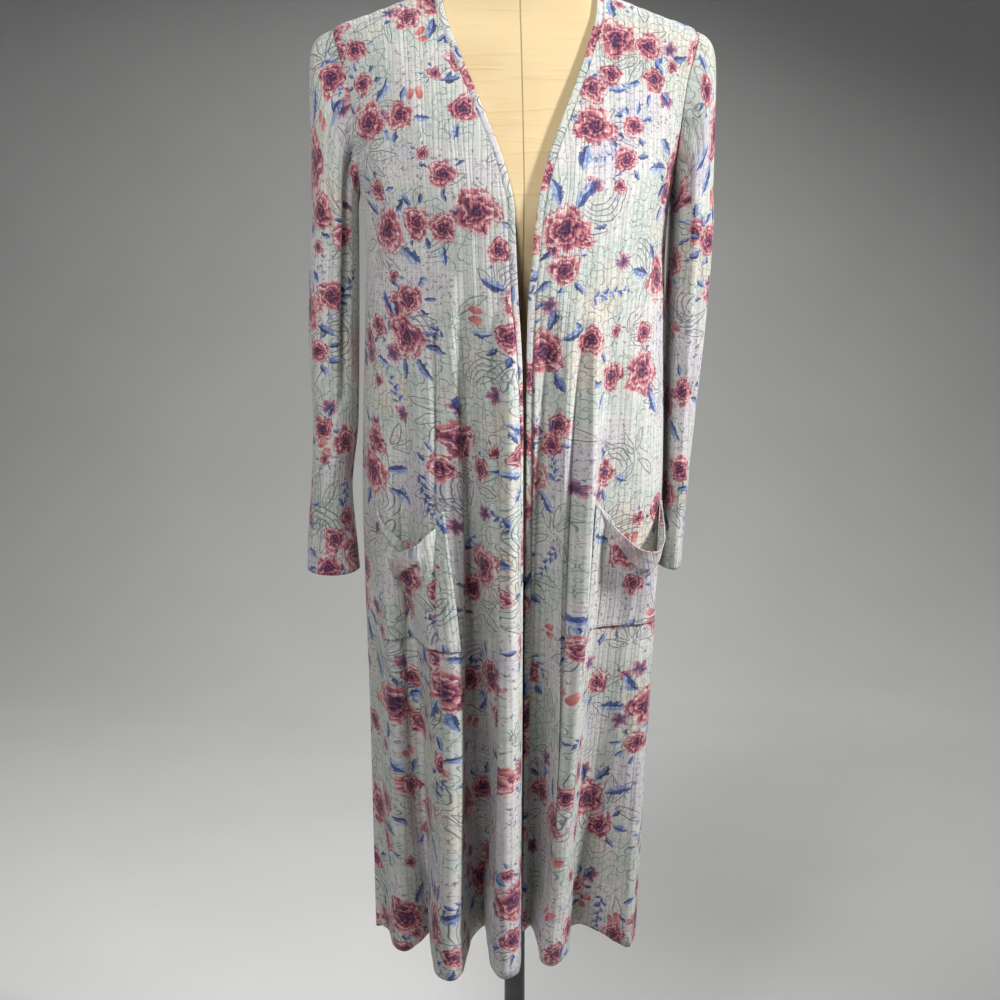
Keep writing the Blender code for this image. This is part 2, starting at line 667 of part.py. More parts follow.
def build():
    for obj in list(bpy.data.objects):
        bpy.data.objects.remove(obj)
    group = bpy.data.collections.new(COLLECTION)
    bpy.context.scene.collection.children.link(group)
    cloth = (0.62, 0.65, 0.64)
    cream = (0.86, 0.76, 0.52)
    steel = (0.18, 0.18, 0.19)
    back = back_panel()
    back_outer = ribbed(back, outward(back))
    cloth_piece("back", back_outer, back, cloth)
    back_edges = {1: back_outer[LOW_ROWS:, 0], -1: back_outer[LOW_ROWS:, -1]}
    for side, name in ((-1, "left"), (1, "right")):
        front, normals = front_panel(side)
        outer = ribbed(front, normals)
        cloth_piece("front_" + name, outer, front, cloth)
        sleeve("sleeve_" + name, side, outer[LOW_ROWS:, -1], back_edges[side], cloth)
        pocket("pocket_" + name, outer, cloth)
    neckband(cloth)
    form_torso(cream)
    foot = BASE_THICK
    base_profile = (
        (0, 0),
        (BASE_RADIUS, 0),
        (BASE_RADIUS, foot - 0.005),
        (BASE_RADIUS - 0.002, foot - 0.0015),
        (BASE_RADIUS - 0.006, foot),
        (0, foot),
    )
    turned("form_base", base_profile, POLE_Y, 48, steel, 0.8, 0.4)
    low, high = foot + SEAM, FORM_BOTTOM_Z - SEAM
    pole_profile = ((0, low), (POLE_RADIUS, low), (POLE_RADIUS, high), (0, high))
    turned("form_pole", pole_profile, POLE_Y, 24, steel, 0.8, 0.35)


build()
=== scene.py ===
"""Looks of the long open-front duster cardigan in printed rib jersey, on its limbless dress form.

The pieces come in the order of the real thing: the stand, the padded form, then the garment as it is sewn.
Metres, +Z up, front facing -Y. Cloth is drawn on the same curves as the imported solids, only finer.
"""

import math

import bmesh
import bpy
import numpy as np
from mathutils import Matrix, Vector


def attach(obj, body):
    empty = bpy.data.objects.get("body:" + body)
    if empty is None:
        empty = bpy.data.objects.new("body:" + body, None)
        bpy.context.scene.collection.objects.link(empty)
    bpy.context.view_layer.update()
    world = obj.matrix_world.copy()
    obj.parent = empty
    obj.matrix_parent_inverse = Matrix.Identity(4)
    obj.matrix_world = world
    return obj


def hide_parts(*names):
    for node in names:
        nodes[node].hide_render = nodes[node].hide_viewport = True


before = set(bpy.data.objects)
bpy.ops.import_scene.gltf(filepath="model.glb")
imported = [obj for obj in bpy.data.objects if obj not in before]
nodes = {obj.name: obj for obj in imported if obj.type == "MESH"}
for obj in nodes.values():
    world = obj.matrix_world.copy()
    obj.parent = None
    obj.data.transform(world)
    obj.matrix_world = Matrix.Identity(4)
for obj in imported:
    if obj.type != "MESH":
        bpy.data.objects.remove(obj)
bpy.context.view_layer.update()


# Stand: a round base plate and a pole
# Turned steel, both powder coated in a dark satin grey with a fine orange-peel skin and light wear.
# The pole stands in the middle of the plate and carries the form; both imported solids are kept.
class Wire:
    """A value inside a material. Sums, products and comparisons of wires become Math nodes."""

    def __init__(self, tree, socket):
        self.tree = tree
        self.socket = socket

    def math(self, operation, *others):
        node = self.tree.nodes.new("ShaderNodeMath")
        node.operation = operation
        for socket, value in zip(node.inputs, (self, *others)):
            plug(self.tree, socket, value)
        return Wire(self.tree, node.outputs[0])

    def __add__(self, other):
        return self.math("ADD", other)

    def __sub__(self, other):
        return self.math("SUBTRACT", other)

    def __rsub__(self, other):
        return self.math("MULTIPLY", -1.0).math("ADD", other)

    def __mul__(self, other):
        return self.math("MULTIPLY", other)

    def __truediv__(self, other):
        return self.math("DIVIDE", other)

    def __abs__(self):
        return self.math("ABSOLUTE")

    __radd__ = __add__
    __rmul__ = __mul__

    def rising(self, low, high):
        """0 below low, 1 above high and a smooth step between; low may be the higher one."""
        node = self.tree.nodes.new("ShaderNodeMapRange")
        node.interpolation_type = "SMOOTHSTEP"
        for name, value in (("Value", self), ("From Min", low), ("From Max", high)):
            plug(self.tree, node.inputs[name], value)
        return Wire(self.tree, node.outputs["Result"])

    def within(self, low, full, last, high):
        """0 below low and above high, 1 from full to last, with smooth steps between."""
        return self.rising(low, full) * self.rising(high, last)

    def ramped(self, stops):
        """A colour ramp along this value, from (place, linear colour) stops."""
        node = self.tree.nodes.new("ShaderNodeValToRGB")
        ramp = node.color_ramp
        ramp.interpolation = "EASE"
        while len(ramp.elements) < len(stops):
            ramp.elements.new(1.0)
        for element, (place, colour) in zip(ramp.elements, stops):
            element.position = place
            element.color = (*colour, 1.0)
        plug(self.tree, node.inputs["Fac"], self)
        return Wire(self.tree, node.outputs["Color"])

    def graded(self, stops):
        """Colours along this value, from (place, screen colour) stops."""
        return self.ramped([(place, linear(colour)) for place, colour in stops])

    def shaped(self, stops):
        """Heights along this value, from (place, height) stops."""
        return self.ramped([(place, (height,) * 3) for place, height in stops])


def linear(colour):
    """A colour written as screen values, 0 to 255, in the renderer's linear light."""
    return tuple(c / 255 / 12.92 if c < 10.3 else ((c / 255 + 0.055) / 1.055) ** 2.4 for c in colour)


def plug(tree, socket, value):
    """Links a wire to a socket, or sets the socket to a plain value."""
    if isinstance(value, Wire):
        tree.links.new(value.socket, socket)
    else:
        socket.default_value = value


def made(tree, kind, output, inputs=(), **settings):
    """A node of a kind, with its inputs plugged and its settings set. Gives the wire of one output."""
    node = tree.nodes.new("ShaderNode" + kind)
    for name, value in settings.items():
        setattr(node, name, value)
    for name, value in dict(inputs).items():
        plug(tree, node.inputs[name], value)
    return Wire(tree, node.outputs[output])


def noise(place, scale, detail, dimensions="3D", output="Fac"):
    """Soft random blotches at a place, smaller as the scale rises."""
    inputs = {"Vector": place, "Scale": scale, "Detail": detail}
    return made(place.tree, "TexNoise", output, inputs, noise_dimensions=dimensions)


def blended(amount, first, second, how="MIX"):
    """The first colour turned into the second by an amount."""
    tree = amount.tree if isinstance(amount, Wire) else first.tree
    node = tree.nodes.new("ShaderNodeMix")
    node.data_type = "RGBA"
    node.blend_type = how
    for socket, value in ((node.inputs[0], amount), (node.inputs[6], first), (node.inputs[7], second)):
        if isinstance(value, tuple):
            value = (*linear(value), 1.0)
        plug(tree, socket, value)
    return Wire(tree, node.outputs[2])


def new_material(name, roughness, metallic=0.0, sheen=0.0, specular=0.5):
    """A material and its tree, with the numbers that are the same all over set on the shader."""
    material = bpy.data.materials.new(name)
    material.use_nodes = True
    shader = material.node_tree.nodes["Principled BSDF"]
    shader.inputs["Roughness"].default_value = roughness
    shader.inputs["Metallic"].default_value = metallic
    shader.inputs["Sheen Weight"].default_value = sheen
    shader.inputs["Sheen Roughness"].default_value = 0.45
    shader.inputs["Specular IOR Level"].default_value = specular
    return material, material.node_tree, shader


def raise_surface(tree, shader, height, distance):
    """Turns a height into the shader's bump, with the distance in metres."""
    bump = made(tree, "Bump", "Normal", {"Height": height, "Distance": distance, "Strength": 1.0})
    plug(tree, shader.inputs["Normal"], bump)


COAT_GREY = (74, 75, 78)
WORN_GREY = (104, 105, 108)

coated_steel, tree, shader = new_material("coated_steel", 0.42, metallic=0.35)
place = made(tree, "TexCoord", "Object")
peel = noise(place, 900.0, 2.0)
cloudy = noise(place, 18.0, 4.0)
plug(tree, shader.inputs["Base Color"], cloudy.graded(((0.35, COAT_GREY), (0.75, WORN_GREY))))
plug(tree, shader.inputs["Roughness"], cloudy.rising(0.2, 0.9) * 0.2 + 0.32)
raise_surface(tree, shader, peel, 0.00008)
for name in ("form_base", "form_pole"):
    nodes[name].data.materials.clear()
    nodes[name].data.materials.append(coated_steel)


# Padded form: a limbless torso, whole from its flat underside to the cap of its neck
# A hard shell with a stretched cream jersey cover, two pieces sewn together down the middle of front and back.
# It stands on the pole; the garment rests on its shoulders.
SQUARENESS = 2.2
CLOTH_RINGS = (
    # height, centre x, half width, front depth, back depth
    (0.330, -0.009, 0.157, 0.084, 0.084),
    (0.500, -0.007, 0.161, 0.094, 0.096),
    (0.650, -0.005, 0.165, 0.103, 0.110),
    (0.800, -0.004, 0.1695, 0.114, 0.124),
    (0.900, -0.003, 0.1715, 0.121, 0.130),
    (1.000, -0.002, 0.1700, 0.127, 0.128),
    (1.080, -0.001, 0.1680, 0.131, 0.121),
    (1.160, 0.000, 0.1670, 0.134, 0.115),
    (1.220, 0.000, 0.1700, 0.133, 0.112),
    (1.270, 0.000, 0.1790, 0.123, 0.113),
    (1.320, 0.000, 0.1910, 0.107, 0.111),
    (1.360, 0.000, 0.2000, 0.092, 0.104),
    (1.383, 0.000, 0.2045, 0.083, 0.098),
    (1.397, 0.000, 0.2040, 0.077, 0.091),
    (1.409, 0.000, 0.1985, 0.071, 0.084),
    (1.424, 0.000, 0.1600, 0.064, 0.074),
    (1.440, 0.000, 0.1180, 0.059, 0.067),
    (1.4535, 0.000, 0.0845, 0.055, 0.062),
    (1.466, 0.000, 0.0520, 0.051, 0.058),
)
FORM_RINGS = (
    # height, centre x, half width, front depth, back depth
    (0.800, 0.0, 0.140, 0.062, 0.088),
    (0.806, 0.0, 0.150, 0.069, 0.096),
    (0.835, 0.0, 0.1575, 0.074, 0.104),
    (0.880, 0.0, 0.1600, 0.078, 0.110),
    (0.940, 0.0, 0.1530, 0.081, 0.109),
    (1.000, 0.0, 0.1380, 0.083, 0.101),
    (1.050, 0.0, 0.1250, 0.085, 0.091),
    (1.100, 0.0, 0.1270, 0.093, 0.089),
    (1.160, 0.0, 0.1390, 0.116, 0.096),
    (1.210, 0.0, 0.1480, 0.129, 0.103),
    (1.260, 0.0, 0.1550, 0.1205, 0.107),
    (1.310, 0.0, 0.1660, 0.105, 0.107),
    (1.350, 0.0, 0.1760, 0.091, 0.101),
    (1.382, 0.0, 0.1830, 0.080, 0.093),
    (1.399, 0.0, 0.1840, 0.073, 0.086),
)
FORM_NECK = (
    # the same columns, from the neck's root to its cap
    (1.4535, 0.0, 0.0790, 0.052, 0.059),
    (1.462, 0.0, 0.0690, 0.050, 0.057),
    (1.474, 0.0, 0.0615, 0.048, 0.054),
    (1.495, 0.0, 0.0575, 0.046, 0.051),
    (1.520, 0.0, 0.0565, 0.045, 0.050),
    (1.525, 0.0, 0.0535, 0.042, 0.047),
)
FORM_SHOULDER_DROP = 0.0017
FORM_SHOULDER_START = 0.006
FORM_SHOULDER_TOP_Z = 1.444
FORM_SHOULDER_RINGS = 8
FORM_SHOULDER_HALF = 0.186
FORM_SHOULDER_CLEAR = (0.0006, 0.0022, 0.0022)
FORM_COLUMNS = 128
FORM_ROWS = 200
CREAM = (228, 204, 158)
CREAM_SHADE = (216, 190, 143)
FORM_SEAM = (160, 136, 96)
WALE_WAVE = 4200.0


def cubic(start, leave, end, arrive, t):
    """A curve from start to end, at t between 0 and 1, that leaves and arrives with the given slopes."""
    return (
        start * (1 + 2 * t) * (1 - t) ** 2
        + leave * t * (1 - t) ** 2
        + end * t * t * (3 - 2 * t)
        + arrive * t * t * (t - 1)
    )


def column(rows, index, z):
    """Smooth, monotone curve through one column of a table, at the heights z."""
    table = np.asarray(rows, float)
    x, y = table[:, 0], table[:, index]
    step = np.diff(x)
    slope = np.diff(y) / step
    tangent = np.zeros(len(x))
    same = slope[:-1] * slope[1:] > 0
    a = 2 * step[1:] + step[:-1]
    b = step[1:] + 2 * step[:-1]
    safe = np.where(same, slope[:-1], 1), np.where(same, slope[1:], 1)
    tangent[1:-1] = np.where(same, (a + b) / (a / safe[0] + b / safe[1]), 0)
    tangent[0], tangent[-1] = slope[0], slope[-1]
    z = np.clip(np.asarray(z, float), x[0], x[-1])
    i = np.clip(np.searchsorted(x, z) - 1, 0, len(step) - 1)
    t = (z - x[i]) / step[i]
    return cubic(y[i], tangent[i] * step[i], y[i + 1], tangent[i + 1] * step[i], t)


def signed_power(v, p):
    """A power that keeps the sign."""
    return np.sign(v) * np.abs(v) ** p


def ring_point(rows, angle, z):
    """Point of a plain oval ring at an angle in degrees and a height."""
    a = np.radians(angle)
    p = 2 / SQUARENESS
    x = column(rows, 1, z) + column(rows, 2, z) * signed_power(np.sin(a), p)
    c = signed_power(np.cos(a), p)
    y = np.where(c >= 0, -column(rows, 3, z) * c, -column(rows, 4, z) * c)
    return np.stack(np.broadcast_arrays(x, y, z), axis=-1)


def grid_surface(bm, points, wrap=False, maps=()):
    """A grid of faces mapped onto points, rows by columns, with UV maps given as (name, u, v) arrays."""
    rows, columns = points.shape[:2]
    width = columns + wrap
    layers = [(bm.loops.layers.uv.new(name), u, v) for name, u, v in maps]
    verts = bmesh.ops.create_grid(bm, x_segments=width - 1, y_segments=rows - 1, size=0.5)["verts"]
    spot = {vert: divmod(k, width) for k, vert in enumerate(verts)}
    for vert, (r, c) in spot.items():
        vert.co = points[r, c % columns]
    for face in bm.faces:
        for loop in face.loops:
            r, c = spot[loop.vert]
            for layer, u, v in layers:
                loop[layer].uv = (u[r, c], v[r, c])
    table = [verts[r * width : (r + 1) * width] for r in range(rows)]
    if wrap:
        bmesh.ops.weld_verts(bm, targetmap={row[-1]: row[0] for row in table})
        table = [row[:-1] for row in table]
    return table


def new_object(name, bm, material):
    """Makes a smooth object of a mesh, at the origin, with its material."""
    mesh = bpy.data.meshes.new(name)
    bm.to_mesh(mesh)
    bm.free()
    mesh.shade_smooth()
    mesh.materials.append(material)
    obj = bpy.data.objects.new(name, mesh)
    bpy.context.scene.collection.objects.link(obj)
    return obj


def finish_piece(name, bm, material, wall=0.0):
    """Makes an object that rides on the part, with an inner face if it has a wall."""
    obj = new_object(name, bm, material)
    if wall:
        solid = obj.modifiers.new("wall", "SOLIDIFY")
        solid.thickness = wall
        solid.offset = -1.0
    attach(obj, "root")
    return obj


def form_rows():
    """The form's rings from its underside to its cap; over the shoulders they lie inside the cloth."""
    rows = list(FORM_RINGS)
    for z in np.linspace(FORM_RINGS[-1][0] + FORM_SHOULDER_START, FORM_SHOULDER_TOP_Z, FORM_SHOULDER_RINGS):
        inside = [
            float(column(CLOTH_RINGS, i + 2, z + FORM_SHOULDER_DROP)) - clear
            for i, clear in enumerate(FORM_SHOULDER_CLEAR)
        ]
        rows.append((z, 0.0, min(inside[0], FORM_SHOULDER_HALF), inside[1], inside[2]))
    return rows + list(FORM_NECK)


form_cover, tree, shader = new_material("form_cover", 0.72, sheen=0.12, specular=0.35)
place = made(tree, "TexCoord", "Object")
across, away, up = (made(tree, "SeparateXYZ", axis, {"Vector": place}) for axis in "XYZ")
stretched = made(tree, "Mapping", "Vector", {"Vector": place, "Scale": (9.0, 9.0, 95.0)})
pulls = made(tree, "TexNoise", "Fac", {"Vector": stretched, "Scale": 1.0, "Detail": 3.0, "Distortion": 0.6})
wrinkle_shade = pulls.rising(0.56, 0.70)
soft = noise(place, 7.0, 3.0)
wales = (across * WALE_WAVE).math("SINE") * (up * WALE_WAVE).math("SINE")
seam_near = abs(across).rising(0.0011, 0.0003)
cream = blended(soft.rising(0.35, 0.7), CREAM, CREAM_SHADE)
# painted shade: the cover darker along its pulled wrinkles
cream = blended(wrinkle_shade * 0.35, cream, CREAM_SHADE)
plug(tree, shader.inputs["Base Color"], blended(seam_near * 0.8, cream, FORM_SEAM))
raise_surface(tree, shader, wales * 0.03 + pulls.rising(0.5, 0.75) * 0.5 - seam_near * 0.9, 0.0007)

rows = form_rows()
angles = np.linspace(0, 360, FORM_COLUMNS, endpoint=False)
levels = np.linspace(rows[0][0], rows[-1][0], FORM_ROWS)
bm = bmesh.new()
rings = np.stack([ring_point(rows, angles, np.full(FORM_COLUMNS, z)) for z in levels])
table = grid_surface(bm, rings, wrap=True)
bm.faces.new(table[0])
bm.faces.new(table[-1])
bmesh.ops.recalc_face_normals(bm, faces=bm.faces)
covered_form = finish_piece("covered_form", bm, form_cover)
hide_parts("form_torso")


# Back: one wide panel, hanging in soft folds from the shoulder blades to the hem
# Thin polyester rib jersey, a wide rib and two narrow ones by turns, printed all over with roses, leaf sprays
# and pen-drawn foliage on pale grey. Side seams join it to the fronts, shoulder seams run along the top.
WALL = 0.0018
SEAM = 0.0003
BAND_WIDTH = 0.008
HEM_Z = 0.353
FOLD_TOP_Z = 1.12
PIT_Z = 1.235
TIP_Z = 1.409
NECK_POINT_Z = 1.4535
BACK_NECK_DROP = 0.013
ARMHOLE_DEPTH = 0.043
FOLD_GROWTH = 2.1
FOLD_DIP = 0.14
MOST_DIP_FROM = 0.06
LOW_ROWS = 144
YOKE_ROWS = 45
BACK_COLUMNS = 200
NECK_COLUMNS = 40
ANGLE_STEP = 0.1
HEIGHT_STEP = 0.001
ROW_CROWDING = 0.9
ARMHOLE_ROUND = 0.9
CREASE_END = 0.6
RIB_FROM_TOP = 0.6
SHEET_WALL = 0.0012
RIB_REPEAT = 0.0185
RIB_HEIGHT = 0.0005
RIB_SHARPNESS = 1.5
BACK_FOLDS = (
    # angle, x and y of the hem there, reach upwards
    (90.0, 0.148, 0.000, 0.9),
    (104.0, 0.137, 0.024, 1.0),
    (118.0, 0.120, 0.083, 1.2),
    (132.0, 0.090, 0.045, 1.3),
    (146.0, 0.064, 0.122, 1.5),
    (160.0, 0.032, 0.052, 1.5),
    (174.0, -0.002, 0.116, 1.4),
    (190.0, -0.040, 0.050, 1.3),
    (206.0, -0.078, 0.126, 1.4),
    (220.0, -0.104, 0.054, 1.2),
    (236.0, -0.132, 0.088, 1.1),
    (252.0, -0.154, 0.030, 0.9),
    (270.0, -0.167, 0.000, 0.9),
)
BACK_CREASES = (
    # start x and z, end x and z, half width, height of the ridge or depth of the trough
    (0.150, 1.330, 0.060, 1.180, 0.012, 0.0022),
    (-0.145, 1.320, -0.055, 1.160, 0.013, 0.0024),
    (0.120, 1.260, 0.020, 1.120, 0.010, -0.0016),
    (-0.115, 1.250, -0.020, 1.100, 0.010, -0.0016),
    (0.085, 1.160, 0.078, 0.700, 0.012, 0.0034),
    (-0.030, 1.180, -0.036, 0.760, 0.011, -0.0030),
    (0.024, 1.150, 0.020, 0.640, 0.010, 0.0030),
    (-0.098, 1.140, -0.106, 0.680, 0.011, 0.0034),
    (0.130, 0.960, 0.122, 0.420, 0.009, -0.0030),
    (-0.060, 0.900, -0.056, 0.420, 0.009, 0.0030),
)


def wave(folds, angle):
    """Offset at the hem from the plain ring, and the reach upwards, at an angle, from a table of folds."""
    table = np.asarray(folds, float)
    base = ring_point(CLOTH_RINGS, table[:, 0], np.full(len(table), HEM_Z))
    knots = np.column_stack([table[:, 0], table[:, 1:3] - base[:, :2], table[:, 3]])
    return column(knots, 1, angle), column(knots, 2, angle), column(knots, 3, angle)


def body_point(folds, angle, z):
    """Point of the cloth's inner face: the plain ring moved by the folds, which grow towards the hem."""
    angle, z = np.broadcast_arrays(np.asarray(angle, float), np.asarray(z, float))
    point = ring_point(CLOTH_RINGS, angle, z)
    dx, dy, reach = wave(folds, angle)
    down = np.clip((FOLD_TOP_Z - z) / (FOLD_TOP_Z - HEM_Z), 0, 1.1)
    grow = down ** (FOLD_GROWTH / reach)
    outward = np.where(np.abs(angle) <= 90, -dy, dy)
    point[..., 0] += dx * grow
    point[..., 1] += dy * grow
    point[..., 2] -= np.clip(outward, -MOST_DIP_FROM, MOST_DIP_FROM) * FOLD_DIP * down**2
    return point


def unit(vectors):
    """Vectors of length one in the same directions."""
    return vectors / np.maximum(np.linalg.norm(vectors, axis=-1, keepdims=True), 1e-12)


def body_slopes(folds, angle, z):
    """How the inner face runs for each degree of angle and each metre of height."""
    turn, lift = ANGLE_STEP / 2, HEIGHT_STEP / 2
    by_angle = (body_point(folds, angle + turn, z) - body_point(folds, angle - turn, z)) / ANGLE_STEP
    by_height = (body_point(folds, angle, z + lift) - body_point(folds, angle, z - lift)) / HEIGHT_STEP
    return by_angle, by_height


def body_normals(folds, angle, z):
    """Outward unit normals of the cloth's inner face."""
    return unit(np.cross(*body_slopes(folds, angle, z)))


def inset_curve(folds, angle, z, distance):
    """Moves a curve on the body square to itself and away from its left, by a distance along the cloth."""
    by_angle, by_height = body_slopes(folds, angle, z)
    along = unit(np.gradient(body_point(folds, angle, z), axis=0))
    aside = np.cross(along, unit(np.cross(by_angle, by_height)))
    moved_angle, moved_z = [], []
    for k in range(len(z)):
        basis = np.stack([by_angle[k], by_height[k]], axis=1)
        step = np.linalg.lstsq(basis, aside[k] * distance, rcond=None)[0]
        moved_angle.append(angle[k] + step[0])
        moved_z.append(z[k] + step[1])
    return np.array(moved_angle), np.array(moved_z)


def low_heights():
    """Heights of the rows below the armhole."""
    return HEM_Z + (PIT_Z - HEM_Z) * np.linspace(0, 1, LOW_ROWS + 1) ** ROW_CROWDING


def neck_curve(count, distance):
    """The back of the neck from the middle to the shoulder on +X, moved down from it by a distance."""
    turn = np.radians(np.linspace(0, 90, count + 1))
    z = NECK_POINT_Z - BACK_NECK_DROP * np.cos(turn) ** 2
    moved_angle, moved = inset_curve(BACK_FOLDS, 180 - np.degrees(turn), z, -distance)
    moved_angle[0], moved_angle[-1] = 180, 90
    return moved_angle, moved


def grid_normals(points, wrap=False):
    """Unit normals of a grid of points, rows by columns, facing away from its middle."""
    if wrap:
        padded = np.concatenate([points[:, -1:], points, points[:, :1]], axis=1)
        across = (padded[:, 2:] - padded[:, :-2]) / 2
    else:
        across = np.gradient(points, axis=1)
    normal = unit(np.cross(across, np.gradient(points, axis=0)))
    away = points[..., :2] - (points.mean(axis=1, keepdims=True)[..., :2] if wrap else 0)
    return normal if np.median((normal[..., :2] * away).sum(axis=-1)) > 0 else -normal


def between(first, last, share):
    """A share of the way from the first to the last."""
    return (1 - share) * first + share * last


def yoke_rise():
    """How far up the yoke each of its rows stands, as a share of its height."""
    return np.sin(np.linspace(0, math.pi / 2, YOKE_ROWS + 1))


def yoke(bottom, top, inner_edge, outer_edge, share):
    """Front-view points between four edges of a yoke, from its bottom to the shoulder seam."""
    rise = yoke_rise()[:, None, None]
    left = inner_edge[:, None] - between(inner_edge[0], inner_edge[-1], rise)
    right = outer_edge[:, None] - between(outer_edge[0], outer_edge[-1], rise)
    return between(bottom[None], top[None], rise) + between(left, right, share[None, :, None])


def armhole(back):
    """The armhole in the front view, from the pit to the shoulder tip."""
    t = np.linspace(0, 1, YOKE_ROWS + 1)
    z = PIT_Z + (TIP_Z - PIT_Z) * (1 - np.cos(math.pi * t)) / 2
    y = ARMHOLE_DEPTH * np.sin(math.pi * t) ** ARMHOLE_ROUND
    depth = column(CLOTH_RINGS, 4 if back else 3, z)
    x = column(CLOTH_RINGS, 2, z) * (1 - (y / depth) ** SQUARENESS) ** (1 / SQUARENESS)
    return np.stack([x, z], axis=-1)


def on_rings(front_view, side, back):
    """Puts front-view points of one half onto the cloth's rings."""
    x, z = front_view[..., 0], front_view[..., 1]
    share = np.clip(x / column(CLOTH_RINGS, 2, z), 0, 1)
    depth = column(CLOTH_RINGS, 4 if back else 3, z)
    y = depth * (1 - share**SQUARENESS) ** (1 / SQUARENESS)
    return np.stack([side * x, y if back else -y, z], axis=-1)


def back_panel():
    """Inner face of the back: rows from the hem to the neck and shoulder seams, columns from side to side."""
    angles = np.linspace(90, 270, BACK_COLUMNS + 1)
    angles, low_z = np.broadcast_arrays(angles[None], low_heights()[:, None])
    low = body_point(BACK_FOLDS, angles, low_z)
    half = BACK_COLUMNS // 2
    bottom = np.stack([low[-1, : half + 1, 0], low[-1, : half + 1, 2]], axis=-1)[::-1]
    neck_angle, neck_z = neck_curve(NECK_COLUMNS, BAND_WIDTH + SEAM)
    neck_x = ring_point(CLOTH_RINGS, neck_angle, neck_z)[:, 0]
    neck_x[0] = 0
    seam_z = np.linspace(neck_z[-1], TIP_Z, half - NECK_COLUMNS + 1)[1:]
    seam_x = column(CLOTH_RINGS, 2, seam_z)
    top = np.stack([np.concatenate([neck_x, seam_x]), np.concatenate([neck_z, seam_z])], axis=-1)
    middle = np.stack([np.zeros(YOKE_ROWS + 1), PIT_Z + (neck_z[0] - PIT_Z) * yoke_rise()], axis=-1)
    view = yoke(bottom, top, middle, armhole(True), np.linspace(0, 1, half + 1))
    right = on_rings(view, 1, True)[:, ::-1]
    left = on_rings(view, -1, True)[:, 1:]
    points = np.concatenate([low, np.concatenate([right, left], axis=1)[1:]])
    points[..., 1] += SEAM / 2
    normals = grid_normals(points)
    normals[:LOW_ROWS] = body_normals(BACK_FOLDS, angles, low_z)[:LOW_ROWS]
    return points, normals


def lengths(points, axis):
    """Distance travelled along the rows or the columns of a grid of points."""
    steps = np.linalg.norm(np.diff(points, axis=axis), axis=-1)
    start = np.zeros_like(np.take(steps, [0], axis=axis))
    return np.concatenate([start, np.cumsum(steps, axis=axis)], axis=axis)


def along_line(places, travelled, line):
    """Points of a line at the places asked for, where travelled says how far along it each of its points is."""
    return np.stack([np.interp(places, travelled, line[:, axis]) for axis in range(3)], axis=-1)


def cloth_maps(points, start, shift):
    """The print's and the ribs' places on a panel, in metres, measured from a start column and the hem.

    Below the armhole a rib keeps to its column; above, ribs run straight up and the edges cut them off.
    """
    pit = LOW_ROWS
    across = lengths(points, 1)
    across = across - across[:, start : start + 1]
    up = lengths(points[:, start : start + 1], 0) + points[:1, start : start + 1, 2] - HEM_Z
    rise = points[..., 2] - points[:, start : start + 1, 2]
    slant = np.interp(points[pit:, start, 0], *ordered(points[pit, :, 0], across[pit]))
    across[pit:] += slant[:, None] - slant[0]
    hem = across[0] * np.ptp(across[pit]) / np.ptp(across[0])
    spread = between(hem, across[pit], RIB_FROM_TOP)
    ribs = np.broadcast_to(spread, across.shape).copy()
    fade = np.linspace(1, 0, len(points) - pit)[:, None] ** 2
    ribs[pit:] = across[pit:] + (spread - across[pit]) * fade
    v = np.broadcast_to(up, across.shape) + rise
    return (("print", across + shift[0], v + shift[1]), ("ribs", ribs + shift[0], v))


def ordered(x, y):
    """Two lists of numbers in the order of the first."""
    order = np.argsort(x)
    return x[order], y[order]


def creased(points, creases):
    """How far each point of a panel stands out for its table of creases, seen from the front."""
    out = np.zeros(points.shape[:2])
    spot = points[..., [0, 2]]
    for x0, z0, x1, z1, width, height in creases:
        start, run = np.array([x0, z0]), np.array([x1 - x0, z1 - z0])
        share = ((spot - start) @ run) / (run @ run)
        off = np.linalg.norm(spot - start - np.clip(share, 0, 1)[..., None] * run, axis=-1)
        ends = np.sin(np.clip(share, 0, 1) * math.pi) ** CREASE_END
        out += height * np.exp(-((off / width) ** 2)) * ends
    return out


def ridged(ribs):
    """Height of the broad rib at a place across the cloth."""
    return RIB_HEIGHT * (0.5 + 0.5 * np.cos(ribs * 2 * math.pi / RIB_REPEAT)) ** RIB_SHARPNESS


def face_outward(bm, normals):
    """Turns the faces of a grid to the side of its first normal."""
    first = bm.faces[:][0].normal
    if first.x * normals[0, 0, 0] + first.y * normals[0, 0, 1] < 0:
        bmesh.ops.reverse_faces(bm, faces=bm.faces)


def cloth_panel(name, points, normals, maps, creases, material):
    """A panel of rib jersey on its solid's outer face, with its creases and its broad ribs."""
    lift = WALL + ridged(maps[1][1]) + creased(points, creases)
    outer = points + normals * lift[..., None]
    bm = bmesh.new()
    grid_surface(bm, outer, maps=maps)
    face_outward(bm, normals)
    return finish_piece(name, bm, material, SHEET_WALL), outer


GROUND = (
    # place along a slow noise, colour; the same columns in the washes below
    (0.30, (207, 203, 207)),
    (0.44, (212, 210, 206)),
    (0.57, (199, 206, 198)),
    (0.72, (212, 206, 194)),
)
ROSE_WASH = (
    (0.02, (56, 34, 70)),
    (0.16, (94, 48, 84)),
    (0.32, (140, 70, 94)),
    (0.48, (178, 98, 108)),
    (0.62, (204, 136, 138)),
    (0.80, (226, 188, 188)),
    (1.00, (238, 222, 220)),
)
LEAF_WASH = ((0.10, (40, 46, 92)), (0.38, (66, 88, 152)), (0.62, (128, 148, 192)), (0.90, (200, 208, 222)))
VIOLET_WASH = ((0.10, (62, 40, 84)), (0.45, (132, 78, 118)), (0.75, (204, 150, 166)), (0.95, (236, 218, 224)))
BUD_WASH = ((0.10, (182, 74, 84)), (0.50, (214, 120, 116)), (0.90, (234, 184, 172)))
INK = (66, 72, 92)
